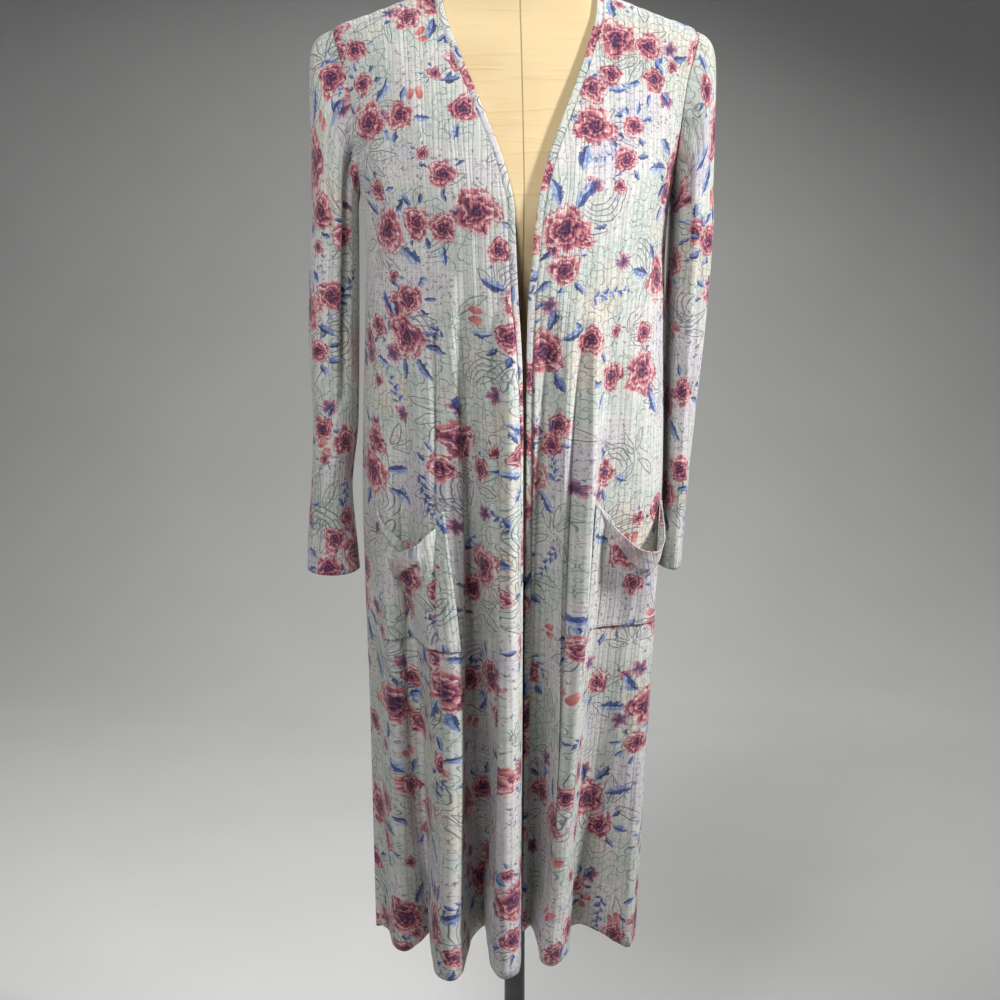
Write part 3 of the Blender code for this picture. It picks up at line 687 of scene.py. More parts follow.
PETAL_SHADE = ((0.0, 0.02), (0.12, 0.22), (0.45, 0.50), (0.68, 0.84), (0.86, 1.0), (0.96, 0.85), (1.0, 0.02))
PRINT_BEND = (0.006, 0.006, 0.0)
# cell, turn and jitter of the scatter that each motif follows
PEN_LEAF_CELLS = (0.100, 0.35, 0.5)
REED_CELLS = (0.108, 1.10, 0.5)
DRAWN_FLOWER_CELLS = (0.0205, 0.50, 0.45)
SPRIG_CELLS = (0.093, 0.75, 0.45)
SMALL_CELLS = (0.064, 0.20, 0.5)
PEN_WIDTH = 0.0007
REED_GAP = 0.0062
DRAWN_FLOWER_RADIUS = 0.0112
SPRIG_LENGTH, SPRIG_GAP = 0.046, 0.0115
SMALL_RADIUS = 0.0115
DIAGONAL = 0.7071
RIB_PROFILE = (
    # place across the repeat, height
    (0.00, 0.15),
    (0.06, 0.95),
    (0.34, 1.00),
    (0.42, 0.15),
    (0.50, 0.85),
    (0.58, 0.85),
    (0.66, 0.10),
    (0.74, 0.80),
    (0.86, 0.85),
    (0.96, 0.10),
    (1.00, 0.15),
)
SINGLE_ROSE = ((0.0, 0.0, 0.0185), (0.0, 0.033, 0.0095))
ROSE_GROUP = (
    # x, y and radius of each flower
    (0.000, 0.004, 0.0290),
    (0.036, -0.018, 0.0200),
    (-0.025, -0.034, 0.0165),
)
ROSE_LAYERS = (
    # scatter, flowers, leaves round each, share of leaves shown, share of cells filled
    ((0.096, 0.55, 0.45), SINGLE_ROSE, 6, 0.42, 0.50),
    ((0.128, 0.15, 0.30), ROSE_GROUP, 8, 0.45, 0.92),
)


def from_middle(x, y):
    """Distance from the middle of a motif."""
    return (x * x + y * y).math("SQRT")


def scattered(tree, cloth, cell, turn, jitter):
    """One motif to a cell of cloth. Gives its own x and y, metres, and two chances between 0 and 1."""
    laid = made(tree, "Mapping", "Vector", {"Vector": cloth, "Rotation": (0.0, 0.0, turn)})
    spots = tree.nodes.new("ShaderNodeTexVoronoi")
    spots.voronoi_dimensions = "2D"
    plug(tree, spots.inputs["Vector"], laid)
    plug(tree, spots.inputs["Scale"], 1 / cell)
    plug(tree, spots.inputs["Randomness"], jitter)
    off = tree.nodes.new("ShaderNodeVectorMath")
    off.operation = "SUBTRACT"
    plug(tree, off.inputs[0], laid)
    tree.links.new(spots.outputs["Position"], off.inputs[1])
    chance = Wire(tree, spots.outputs["Color"])
    picks = [made(tree, "SeparateColor", name, {"Color": chance}) for name in ("Red", "Green", "Blue")]
    turned = made(
        tree,
        "VectorRotate",
        "Vector",
        {"Vector": Wire(tree, off.outputs[0]), "Angle": picks[0] * (2 * math.pi)},
        rotation_type="Z_AXIS",
    )
    return [made(tree, "SeparateXYZ", axis, {"Vector": turned}) for axis in "XY"] + picks[1:]


def grouped(x, y, flowers, luck):
    """Parts the cloth round a motif between its flowers. Gives x, y and radius of the nearest, and its luck."""
    distances = []
    for flower_x, flower_y, radius in flowers:
        off_x, off_y = x - flower_x, y - flower_y
        distances.append(from_middle(off_x, off_y) / radius)
    own_x, own_y, own_radius, own_luck = x, y, 0.0, luck
    for k, (flower_x, flower_y, radius) in enumerate(flowers):
        others = [d for j, d in enumerate(distances) if j != k]
        least = others[0]
        for other in others[1:]:
            least = least.math("MINIMUM", other)
        nearest = distances[k].math("LESS_THAN", least)
        own_x, own_y = own_x - nearest * flower_x, own_y - nearest * flower_y
        own_radius = nearest * radius + own_radius
        own_luck = nearest * (0.31 * k) + own_luck
    return own_x, own_y, own_radius.math("MAXIMUM", 0.001), own_luck.math("FRACT")


def rose(x, y, radius, wash, luck):
    """A washed-in rose, petal over petal round its heart. Gives its colour and where it is printed."""
    near = from_middle(x, y) / radius
    turn = y.math("ARCTAN2", x)
    ragged = (turn * 5.0 + luck * 9.0).math("SINE") * 0.06 + (turn * 3.0 - luck * 14.0).math("SINE") * 0.07
    near = near / (ragged + (wash - 0.5) * 0.55 + 0.90)
    place = made(x.tree, "CombineXYZ", "Vector", {"X": turn * 3.6 + luck * 40.0, "Y": near * 2.2})
    streak = noise(place, 1.0, 2.0, "2D")
    scallop = abs((turn * 1.5 + near * 4.5 + luck * 5.0).math("SINE")) * 0.42
    petal = (near.math("POWER", 0.8) * 3.7 - turn / (2 * math.pi) + scallop).math("FRACT")
    shade = petal.shaped(PETAL_SHADE)
    side = (turn + luck * 6.3).math("COSINE")
    heart = near.rising(0.60, 0.10) * 0.30
    tone = shade * 0.54 + near * 0.30 + (streak - 0.5) * 0.85 + side * 0.08 + (wash - 0.5) * 0.35 - heart + 0.04
    printed = near.rising(1.0, 0.86) * (0.97 - tone.rising(0.62, 1.0) * 0.50)
    return tone.graded(ROSE_WASH), printed


def leaf_ring(x, y, start, length, width, count, luck, share, bend=0.0):
    """Leaves set round a point. Gives the leaf's own along share, across and half width, and its luck."""
    reach = from_middle(x, y)
    turn = y.math("ARCTAN2", x) + reach * bend
    place = (turn / (2 * math.pi) + luck) * count
    sector = place.math("FLOOR")
    angle = (place - sector - 0.5) * (2 * math.pi / count)
    name = (sector + 50.0 * count).math("FLOORED_MODULO", float(count)) + luck * 17.3
    draw = made(name.tree, "TexWhiteNoise", "Value", {"W": name}, noise_dimensions="1D")
    size = draw * 0.45 + 0.75
    along = (reach * angle.math("COSINE") - start) / (size * length)
    inside = along.math("MAXIMUM", 0.0).math("MINIMUM", 1.0)
    across = reach * angle.math("SINE")
    half = (inside * math.pi).math("SINE").math("POWER", 0.85) * (size * width)
    shown = (draw * 7.31).math("FRACT").math("LESS_THAN", share)
    return inside, across, half, shown, draw


def solid_leaves(ring, wash):
    """Two-tone blue leaves, darker on one side of the midrib."""
    inside, across, half, shown, draw = ring
    printed = (half * (wash * 1.6 + 0.15) - abs(across)).rising(0.0, 0.0009) * shown
    vein = abs(across).rising(0.0006, 0.0001) * 0.25
    tone = across.rising(-0.0012, 0.0012) * 0.42 + draw * 0.30 + (wash - 0.5) * 0.8 + inside * 0.10 + vein
    return tone.graded(LEAF_WASH), printed * 0.92


def pen_leaves(ring, thick):
    """Leaves drawn as a pen outline with a midrib."""
    inside, across, half, shown, _ = ring
    off = abs(half - abs(across))
    there = inside.within(0.0, 0.02, 0.98, 1.0) * shown
    midrib = abs(across).rising(thick, thick * 0.3) * inside.rising(0.85, 0.6) * 0.5
    return (off.rising(thick * 1.3, thick * 0.4)).math("MAXIMUM", midrib) * there


def leaf_pairs(x, y, length, gap, wash, luck):
    """A sprig: a stem with leaves by turns on its two sides, smaller towards the tip."""
    start = x + length / 2
    other = y.math("LESS_THAN", 0.0)
    step = (start + other * (gap / 2)) / gap
    local = step.math("FRACT") * gap
    apart = abs(y)
    along = (local + apart) * DIAGONAL
    across = (apart - local) * DIAGONAL + gap * 0.12
    size = (1.15 - (start / length) * 0.55) * (gap * 1.15)
    inside = (along / size).math("MAXIMUM", 0.0).math("MINIMUM", 1.0)
    half = (inside * math.pi).math("SINE") * size * 0.24
    within = start.within(0.0, 0.002, length - 0.002, length)
    leaf = (half - abs(across)).rising(0.0, 0.0006)
    stem = apart.rising(0.0007, 0.0003)
    tone = across.rising(-0.001, 0.001) * 0.35 + (wash - 0.5) * 0.9 + luck * 0.35 + 0.12
    return tone.graded(LEAF_WASH), leaf.math("MAXIMUM", stem) * within * 0.9


def pen_reeds(x, y, gap):
    """Long reeds bending over together: arcs about one point, tapering at both ends."""
    reach = from_middle(x, y * 1.15)
    turn = y.math("ARCTAN2", x)
    line = abs((reach / gap + turn * 0.25).math("FRACT") - 0.5) * gap
    band = reach.within(0.010, 0.014, 0.036, 0.042)
    sweep = turn.within(-1.5, -1.0, 0.9, 1.5)
    return line.rising(0.0009, 0.0003) * band * sweep


def small_flower(x, y, radius, wash, luck):
    """A five-petalled violet-pink flower."""
    reach = from_middle(x, y) / radius
    turn = y.math("ARCTAN2", x)
    lobe = abs((turn * 2.5 + luck * 4.0).math("COSINE")).math("POWER", 0.55) * 0.5 + 0.5
    near = reach / lobe
    streak = (turn * 15.0).math("SINE") * 0.08
    tone = near.rising(0.1, 0.95) * 0.62 + (wash - 0.5) * 0.9 + streak + 0.08
    return tone.graded(VIOLET_WASH), near.rising(1.0, 0.92) * 0.9


def drawn_flower(x, y, radius, luck):
    """A small flower in pen outline: five round petals, the gaps between them and a ring in the middle."""
    turn = y.math("ARCTAN2", x)
    lobe = abs((turn * 2.5 + luck * 4.0).math("COSINE"))
    near = from_middle(x, y) / radius / (lobe.math("POWER", 0.5) * 0.34 + 0.66)
    outline = near.within(0.84, 0.92, 0.95, 1.02)
    gaps = lobe.rising(0.20, 0.08) * near.within(0.25, 0.35, 0.9, 1.0) * 0.6
    eye = near.within(0.12, 0.16, 0.20, 0.26) * 0.7
    return outline.math("MAXIMUM", gaps).math("MAXIMUM", eye)


def bud_pair(x, y, wash):
    """Two coral buds on a forked stalk."""
    apart = abs(y) - 0.0052
    along, across = x - apart * 0.5, apart + x * 0.15
    near = from_middle(along / 0.0090, across / 0.0046)
    tone = along * 38.0 + across * 60.0 + (wash - 0.5) * 0.9 + 0.42
    return tone.graded(BUD_WASH), near.rising(1.0, 0.85) * 0.88


def printed_jersey(name, strength=1.0):
    """The printed rib jersey, at full strength or paler. It reads the UV maps print and ribs, in metres."""
    material, tree, shader = new_material(name, 0.86, sheen=0.18, specular=0.22)
    cloth = made(tree, "UVMap", "UV", uv_map="print")
    knit = made(tree, "UVMap", "UV", uv_map="ribs")
    wash = noise(cloth, 230.0, 3.0, "2D")
    broad = noise(cloth, 9.0, 2.0, "2D")
    warp = noise(cloth, 55.0, 1.0, "2D", "Color")
    bent = made(tree, "VectorMath", "Vector", {0: warp, 1: PRINT_BEND, 2: cloth}, operation="MULTIPLY_ADD")
    colour = broad.graded(GROUND)

    # Slub and heather of the yarn
    lie = made(tree, "Mapping", "Vector", {"Vector": knit, "Scale": (38.0, 560.0, 1.0)})
    slub = noise(lie, 1.0, 2.0, "2D")
    stand = made(tree, "Mapping", "Vector", {"Vector": knit, "Scale": (620.0, 30.0, 1.0)})
    fleck = noise(stand, 1.0, 2.0, "2D")

    # Pen drawing
    x, y, chance, luck = scattered(tree, bent, *PEN_LEAF_CELLS)
    pen = pen_leaves(leaf_ring(x, y, 0.006, 0.036, 0.0052, 9, luck, 0.60, bend=9.0), PEN_WIDTH)
    x, y, chance, luck = scattered(tree, bent, *REED_CELLS)
    reeds = pen_reeds(x, y, REED_GAP) * chance.math("LESS_THAN", 0.65)
    x, y, chance, luck = scattered(tree, bent, *DRAWN_FLOWER_CELLS)
    petals = drawn_flower(x, y, DRAWN_FLOWER_RADIUS, luck) * broad.rising(0.50, 0.53) * 0.85
    pen = pen.math("MAXIMUM", reeds).math("MAXIMUM", petals)
    scrawl = noise(bent, 95.0, 2.0, "2D")
    strokes = abs(scrawl - 0.5).rising(0.034, 0.010) * wash.rising(0.42, 0.52) * 0.8
    sketch = strokes * broad.rising(0.52, 0.46) + wash.rising(0.60, 0.70) * broad.rising(0.47, 0.38) * 0.22
    colour = blended((pen * 0.74).math("MAXIMUM", sketch * 0.8), colour, INK)

    # Sprigs, small flowers and buds
    x, y, chance, luck = scattered(tree, bent, *SPRIG_CELLS)
    paint, there = leaf_pairs(x, y, SPRIG_LENGTH, SPRIG_GAP, wash, luck)
    colour = blended(there * chance.math("LESS_THAN", 0.40), colour, paint)
    x, y, chance, luck = scattered(tree, bent, *SMALL_CELLS)
    paint, there = small_flower(x, y, SMALL_RADIUS, wash, luck)
    colour = blended(there * chance.math("LESS_THAN", 0.28), colour, paint)
    paint, there = bud_pair(x, y, wash)
    colour = blended(there * chance.math("GREATER_THAN", 0.74), colour, paint)

    # Single roses, then the groups of three, each flower with its ring of leaves
    for cells, flowers, count, share, filled in ROSE_LAYERS:
        x, y, chance, luck = scattered(tree, bent, *cells)
        picked = chance.math("LESS_THAN", filled)
        x, y, radius, luck = grouped(x, y, flowers, luck)
        ring = leaf_ring(x, y, radius * 0.85, radius * 1.05, radius * 0.23, count, luck, share)
        paint, there = solid_leaves(ring, wash)
        colour = blended(there * picked, colour, paint)
        paint, there = rose(x, y, radius, wash, luck)
        colour = blended(there * picked, colour, paint)

    if strength < 1.0:
        colour = blended(1 - strength, colour, broad.graded(GROUND))

    # The ribs: painted shade, paler on their crowns and darker in the furrows between, with the yarn's own slub
    # and heather
    rib_place = made(tree, "SeparateXYZ", "X", {"Vector": knit})
    profile = (rib_place / RIB_REPEAT).math("FRACT").shaped(RIB_PROFILE)
    light = profile * 0.18 + 0.85 + (slub - 0.5) * 0.34 + (fleck - 0.5) * 0.34
    rib_shade_and_slub = made(tree, "CombineColor", "Color", {"Red": light, "Green": light, "Blue": light})
    plug(tree, shader.inputs["Base Color"], blended(1.0, colour, rib_shade_and_slub, "MULTIPLY"))
    raise_surface(tree, shader, profile * 0.7 + fleck * 0.15 + slub * 0.15, 0.0006)
    return material


rib_jersey = printed_jersey("rib_jersey")
points, normals = back_panel()
maps = cloth_maps(points, BACK_COLUMNS // 2, (2.37, 0.61))
back, back_outer = cloth_panel("back_panel", points, normals, maps, BACK_CREASES, rib_jersey)
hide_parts("back")


# Fronts: two long panels that hang open down the middle
# The same printed jersey. Each falls from the shoulder over the bust, then gathers into deep soft folds: three
# on the left, two on the right. Sewn to the back along the shoulders and sides.
FRONT_COLUMNS = 170
HEM_SAMPLES = 361
NECK_EDGES = (
    # height, x of the left front's edge, x of the right front's edge
    (0.340, -0.0105, -0.0060),
    (0.700, -0.0060, -0.0020),
    (1.000, -0.0025, 0.0015),
    (1.050, -0.0030, 0.0020),
    (1.110, -0.0055, 0.0035),
    (1.170, -0.0085, 0.0085),
    (1.220, -0.0105, 0.0135),
    (1.260, -0.0190, 0.0225),
    (1.310, -0.0370, 0.0405),
    (1.350, -0.0530, 0.0570),
    (1.390, -0.0690, 0.0715),
    (1.425, -0.0805, 0.0820),
    (1.4535, -0.0845, 0.0845),
)
LEFT_FOLDS = (
    # angle, x and y of the hem there, reach upwards
    (-90.0, -0.167, 0.000, 1.0),
    (-81.0, -0.159, -0.004, 1.0),
    (-74.0, -0.150, -0.020, 1.1),
    (-67.5, -0.146, -0.050, 1.3),
    (-61.0, -0.136, -0.064, 1.5),
    (-54.0, -0.120, -0.050, 1.6),
    (-48.0, -0.1035, -0.028, 1.9),
    (-43.5, -0.1005, -0.080, 2.6),
    (-39.5, -0.095, -0.120, 2.9),
    (-35.0, -0.083, -0.131, 2.9),
    (-31.0, -0.071, -0.117, 2.9),
    (-27.5, -0.064, -0.082, 2.9),
    (-24.0, -0.057, -0.050, 2.9),
    (-18.0, -0.037, -0.022, 2.7),
    (-14.0, -0.0335, -0.065, 2.6),
    (-10.5, -0.031, -0.112, 2.6),
    (-7.0, -0.021, -0.133, 2.5),
    (-3.5, -0.008, -0.124, 2.3),
    (0.0, 0.001, -0.086, 2.0),
)
RIGHT_FOLDS = (
    (0.0, 0.004, -0.042, 1.9),
    (7.0, 0.018, -0.026, 2.2),
    (12.0, 0.0245, -0.062, 2.6),
    (16.0, 0.026, -0.102, 2.9),
    (21.0, 0.036, -0.110, 2.9),
    (28.0, 0.053, -0.090, 2.9),
    (34.0, 0.060, -0.058, 2.7),
    (38.0, 0.063, -0.030, 2.4),
    (44.0, 0.074, -0.022, 2.0),
    (55.0, 0.099, -0.035, 1.6),
    (67.0, 0.120, -0.057, 1.4),
    (74.0, 0.132, -0.064, 1.2),
    (81.0, 0.141, -0.040, 1.0),
    (90.0, 0.148, 0.000, 1.0),
)
SIDE_FOLDS = {-1: LEFT_FOLDS, 1: RIGHT_FOLDS}
FRONT_CREASES = {
    -1: (
        # start x and z, end x and z, half width, height of the ridge or depth of the trough
        (-0.0760, 1.150, -0.0800, 0.400, 0.0075, 0.0112),
        (-0.0925, 1.120, -0.0975, 0.400, 0.0065, -0.0185),
        (-0.1080, 1.090, -0.1110, 0.420, 0.0120, -0.0065),
        (-0.0580, 1.090, -0.0590, 0.500, 0.0065, -0.0050),
        (-0.0155, 1.130, -0.0200, 0.420, 0.0075, 0.0085),
        (-0.0300, 1.110, -0.0350, 0.430, 0.0060, -0.0170),
        (-0.0420, 1.100, -0.0480, 0.430, 0.0090, -0.0050),
        (-0.0440, 1.120, -0.0490, 0.620, 0.0080, 0.0026),
        (-0.1480, 0.960, -0.1380, 0.460, 0.0080, 0.0056),
        (-0.1360, 0.980, -0.1200, 0.460, 0.0070, -0.0060),
        (-0.118, 1.150, -0.112, 0.900, 0.012, 0.0022),
        (-0.150, 1.000, -0.152, 0.520, 0.009, -0.0030),
        (-0.160, 1.330, -0.120, 1.160, 0.012, 0.0022),
        (-0.128, 1.370, -0.095, 1.210, 0.011, 0.0014),
        (-0.150, 1.260, -0.162, 1.130, 0.010, -0.0024),
    ),
    1: (
        (0.0805, 1.110, 0.0415, 0.400, 0.0075, 0.0112),
        (0.0660, 1.100, 0.0270, 0.400, 0.0065, -0.0180),
        (0.0540, 1.090, 0.0130, 0.430, 0.0100, -0.0055),
        (0.0980, 1.080, 0.0600, 0.450, 0.0075, -0.0055),
        (0.0400, 1.140, 0.0180, 0.560, 0.0080, 0.0034),
        (0.0260, 1.080, 0.0120, 0.520, 0.0055, -0.0060),
        (0.122, 1.080, 0.118, 0.920, 0.011, 0.0026),
        (0.012, 1.100, 0.008, 0.600, 0.008, 0.0026),
        (0.160, 1.340, 0.122, 1.180, 0.012, 0.0022),
        (0.130, 1.370, 0.100, 1.230, 0.011, 0.0014),
        (0.148, 1.260, 0.160, 1.120, 0.010, -0.0024),
    ),
}


def edge_angle(side, z):
    """Angle of a front edge. Side is -1 for the left front and 1 for the right."""
    x = column(NECK_EDGES, 1 if side < 0 else 2, z)
    share = (x - column(CLOTH_RINGS, 1, z)) / column(CLOTH_RINGS, 2, z)
    return np.degrees(np.arcsin(signed_power(np.clip(share, -1, 1), SQUARENESS / 2)))


def front_edge_curve(side, distance):
    """A front's edge, moved in from it by a distance, as angles and heights."""
    z = np.concatenate([low_heights(), PIT_Z + (NECK_POINT_Z - PIT_Z) * yoke_rise()[1:]])
    angle, moved = inset_curve(SIDE_FOLDS[side], edge_angle(side, z), z, side * distance)
    high = np.arange(len(z)) > LOW_ROWS
    angle = np.clip(angle, -90, 90)
    angle[-1] = side * 90
    return angle, np.where(high, moved, z)


def column_shares(folds, side):
    """Where a front's columns stand, evened between its smooth top and its wavy hem."""
    top = np.linspace(0, 1, HEM_SAMPLES)
    length = lengths(body_point(folds, side * 90 * top, HEM_Z)[:, None], 0)[:, 0]
    return np.interp(np.linspace(0, 1, FRONT_COLUMNS + 1), (length / length[-1] + top) / 2, top)


def front_panel(side):
    """Inner face of a front: rows from the hem to the shoulder seam, columns from the edge to the side."""
    folds = SIDE_FOLDS[side]
    share = column_shares(folds, side)
    start, start_z = front_edge_curve(side, BAND_WIDTH + SEAM)
    angle = start[: LOW_ROWS + 1, None]
    angle = angle + (side * 90 - angle) * share[None]
    low_z = np.broadcast_to(low_heights()[:, None], angle.shape)
    low = body_point(folds, angle, low_z)
    bottom = np.stack([side * low[-1, :, 0], low[-1, :, 2]], axis=-1)
    z = np.linspace(start_z[-1], TIP_Z, len(share))
    top = np.stack([column(CLOTH_RINGS, 2, z), z], axis=-1)
    edge_x = side * ring_point(CLOTH_RINGS, start, start_z)[LOW_ROWS:, 0]
    edge = np.stack([edge_x, start_z[LOW_ROWS:]], axis=-1)
    view = yoke(bottom, top, edge, armhole(False), share)
    points = np.concatenate([low, on_rings(view, side, False)[1:]])
    points[..., 1] -= SEAM / 2
    normals = grid_normals(points)
    normals[:LOW_ROWS] = body_normals(folds, angle, low_z)[:LOW_ROWS]
    return points, normals


fronts = {}
hems = [(back_outer, grid_normals(back_outer), lengths(back_outer, 0))]
for side, name, shift in ((-1, "left", (0.03, 0.17)), (1, "right", (1.21, 0.42))):
    points, normals = front_panel(side)
    maps = cloth_maps(points, 0, shift)
    panel, outer = cloth_panel(name + "_front", points, normals, maps, FRONT_CREASES[side], rib_jersey)
    fronts[side] = outer, maps
    hems.append((outer, grid_normals(outer), lengths(outer, 0)))
    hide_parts("front_" + name)


# Sleeves: long narrow tubes, set in at the armhole and turned up plainly at the cuff
# The same printed jersey, its ribs down the arm. They hang empty beside the body, the right one further back.
LEFT_SLEEVE = (
    # height, outermost x, innermost x, middle y, half depth
    (1.200, 0.2290, 0.1770, 0.000, 0.059),
    (1.150, 0.2330, 0.1775, -0.001, 0.057),
    (1.080, 0.2355, 0.1785, -0.003, 0.055),
    (0.980, 0.2325, 0.1810, -0.007, 0.051),
    (0.900, 0.2360, 0.1890, -0.012, 0.045),
    (0.842, 0.2410, 0.1850, -0.014, 0.042),
    (0.807, 0.2420, 0.1820, -0.015, 0.044),
)
RIGHT_SLEEVE = (
    (1.200, 0.2225, 0.1770, 0.005, 0.062),
    (1.150, 0.2200, 0.1760, 0.008, 0.059),
    (1.080, 0.2155, 0.1750, 0.012, 0.056),
    (0.980, 0.2085, 0.1750, 0.020, 0.052),
    (0.900, 0.2055, 0.1750, 0.027, 0.049),
    (0.840, 0.2020, 0.1740, 0.030, 0.045),
    (0.798, 0.1995, 0.1720, 0.031, 0.046),
)
SLEEVE_RINGS = {-1: LEFT_SLEEVE, 1: RIGHT_SLEEVE}
CAP_RINGS = 30
ARM_RINGS = 110
CAP_OUT_PIT = 0.012
CAP_OUT_TOP = 0.120
CAP_SPREAD = 0.020
CAP_DIP_PIT = 0.045
CAP_FALL_PIT = 0.035
CAP_FALL_TOP = 0.260
CAP_EASE = 0.0006
CAP_SQUARE = 8
CAP_DROP = 1.8
CAP_SLOPE = 0.3
CAP_CROWDING = 1.3
CAP_FADE_RINGS = 8
RIB_SPACING_RING = CAP_RINGS + 20
SLEEVE_CREASES = {
    -1: (
        # start turn and z, end turn and z, half width along the cloth, height or depth
        (0.35, 1.330, 0.32, 1.000, 0.008, -0.0095),
        (0.29, 1.310, 0.26, 0.980, 0.009, 0.0060),
        (0.22, 1.280, 0.19, 0.900, 0.010, -0.0036),
        (0.14, 1.240, 0.15, 0.930, 0.011, 0.0034),
        (0.30, 1.060, 0.10, 1.010, 0.008, 0.0028),
        (0.33, 1.020, 0.14, 0.960, 0.007, -0.0026),
        (0.28, 0.950, 0.16, 0.860, 0.008, 0.0028),
        (0.62, 1.300, 0.66, 0.960, 0.011, -0.0042),
        (0.75, 1.280, 0.78, 0.900, 0.012, 0.0040),
        (0.90, 1.240, 0.86, 0.940, 0.012, -0.0034),
    ),
    1: (
        (0.35, 1.330, 0.33, 1.020, 0.008, -0.0095),
        (0.29, 1.310, 0.27, 1.000, 0.009, 0.0056),
        (0.21, 1.280, 0.20, 0.920, 0.010, -0.0040),
        (0.12, 1.240, 0.13, 0.930, 0.011, 0.0034),
        (0.31, 1.040, 0.12, 0.990, 0.008, -0.0026),
        (0.29, 0.940, 0.14, 0.880, 0.008, 0.0026),
        (0.62, 1.300, 0.64, 0.980, 0.011, -0.0040),
        (0.74, 1.280, 0.77, 0.900, 0.012, 0.0040),
        (0.90, 1.240, 0.88, 0.940, 0.012, -0.0034),
    ),
}


def sleeve_points(side, front_edge, back_edge):
    """Outer face of a sleeve: rings from the armhole to the cuff."""
    rows = SLEEVE_RINGS[side][::-1]
    count = YOKE_ROWS
    loop = np.concatenate([front_edge[::-1], back_edge[1:-1]])
    loop[0] = (front_edge[-1] + back_edge[-1]) / 2
    loop[count] = (front_edge[0] + back_edge[0]) / 2
    loop = loop + np.array([side * CAP_EASE, 0, 0])
    turn = np.linspace(0, 2 * math.pi, 2 * count + 1)[:-1]

    def ring(z):
        outer, inner = column(rows, 1, z), column(rows, 2, z)
        x = (outer + inner) / 2 + (outer - inner) / 2 * np.cos(turn)
        y = column(rows, 3, z) - column(rows, 4, z) * np.sin(turn)
        return np.stack([side * x, y, np.full(len(turn), z)], axis=-1)

    high = (1 + np.cos(turn)) / 2
    leave_x = side * (CAP_OUT_PIT + CAP_OUT_TOP * high)
    leave = np.stack([leave_x, -CAP_SPREAD * np.sin(turn), -CAP_DIP_PIT * (1 - high)], axis=-1)
    first = ring(rows[-1][0])
    level = np.zeros(len(turn))
    fall = np.stack([level, level, -(CAP_FALL_PIT + CAP_FALL_TOP * high)], axis=-1)
    rings = []
    for t in np.linspace(0, 1, CAP_RINGS + 1)[:-1] ** CAP_CROWDING:
        soft = cubic(loop, leave, first, fall, t)
        reach = 1 - (1 - t) ** CAP_SQUARE
        square = loop + (first - loop) * np.array([reach, t, t**CAP_DROP])
        square[:, 2] -= CAP_SLOPE * reach * (1 - t) * np.abs(first - loop)[:, 0]
        rings.append(soft + (square - soft) * (high**2)[:, None])
    rings += [ring(z) for z in np.linspace(rows[-1][0], rows[0][0], ARM_RINGS + 1)]
    return np.array(rings)


def sleeve_creased(points, around, creases):
    """How far each point of a sleeve stands out, for creases placed by their turn round it and height."""
    out = np.zeros(points.shape[:2])
    turn = np.broadcast_to(np.arange(points.shape[1]) / points.shape[1], out.shape)
    girth = around[:, -1:]
    for turn0, z0, turn1, z1, width, height in creases:
        share = np.clip((points[..., 2] - z0) / (z1 - z0), 0, 1)
        beside = np.abs(turn - (turn0 + (turn1 - turn0) * share)) * girth
        ends = np.sin(share * math.pi) ** CREASE_END
        out += height * np.exp(-((beside / width) ** 2)) * ends
    return out


cuffs = []
for side, name, shift in ((-1, "left", (3.13, 0.29)), (1, "right", (4.27, 0.83))):
    points = sleeve_points(side, fronts[side][0][LOW_ROWS:, -1], back_outer[LOW_ROWS:, 0 if side > 0 else -1])
    normals = grid_normals(points, wrap=True)
    around = lengths(np.concatenate([points, points[:, :1]], axis=1), 1)
    middle = YOKE_ROWS // 2
    down = lengths(points[:, middle : middle + 1], 0)
    v = np.broadcast_to(down[-1] - down, around.shape)
    spacing = np.broadcast_to(around[RIB_SPACING_RING], around.shape)
    maps = (("print", around - around[:, middle : middle + 1] + shift[0], v + shift[1]), ("ribs", spacing, v))
    fade = np.clip((np.arange(len(points)) - 1) / CAP_FADE_RINGS, 0, 1)[:, None]
    fold = sleeve_creased(points, around, SLEEVE_CREASES[side])
    outer = points + normals * ((ridged(spacing[:, :-1]) + fold) * fade)[..., None]
    bm = bmesh.new()
    grid_surface(bm, outer, wrap=True, maps=maps)
    bmesh.ops.recalc_face_normals(bm, faces=bm.faces)
    sleeve = finish_piece(name + "_sleeve", bm, rib_jersey, SHEET_WALL)
    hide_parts("sleeve_" + name)
    closed = list(range(points.shape[1])) + [0]
    cuffs.append((outer[:, closed], normals[:, closed], v))


# Neckband: one narrow folded strip round the neck and down both front edges to the hem
# The same jersey cut on the straight, folded double and sewn on, a little thicker and rounder than the panels.
BAND_WALL = 0.0024
BAND_LANES = 9
BAND_BULGE = 0.0005
BAND_SHEET = 0.0021
BAND_PRINT_START = 5.41
BAND_RIB_START = 0.0011


def band_points():
    """Inner face of the strip: up one front edge, round the back of the neck and down the other."""
    lanes = []
    for inset in np.linspace(0, BAND_WIDTH, BAND_LANES):
        edges = []
        for side in (-1, 1):
            angle, z = front_edge_curve(side, inset)
            edge = body_point(SIDE_FOLDS[side], angle, z)
            edge[:, 1] -= SEAM / 2
            edges.append(edge)
        angle, z = neck_curve(NECK_COLUMNS, inset)
        half = ring_point(CLOTH_RINGS, angle, z)
        half[:, 1] += SEAM / 2
        neck = np.concatenate([(half * np.array([-1, 1, 1]))[:0:-1], half])
        neck[0] = (neck[0] + edges[0][-1]) / 2
        neck[-1] = (neck[-1] + edges[1][-1]) / 2
        lanes.append(np.concatenate([edges[0][:-1], neck, edges[1][-2::-1]]))
    return np.stack(lanes, axis=1)


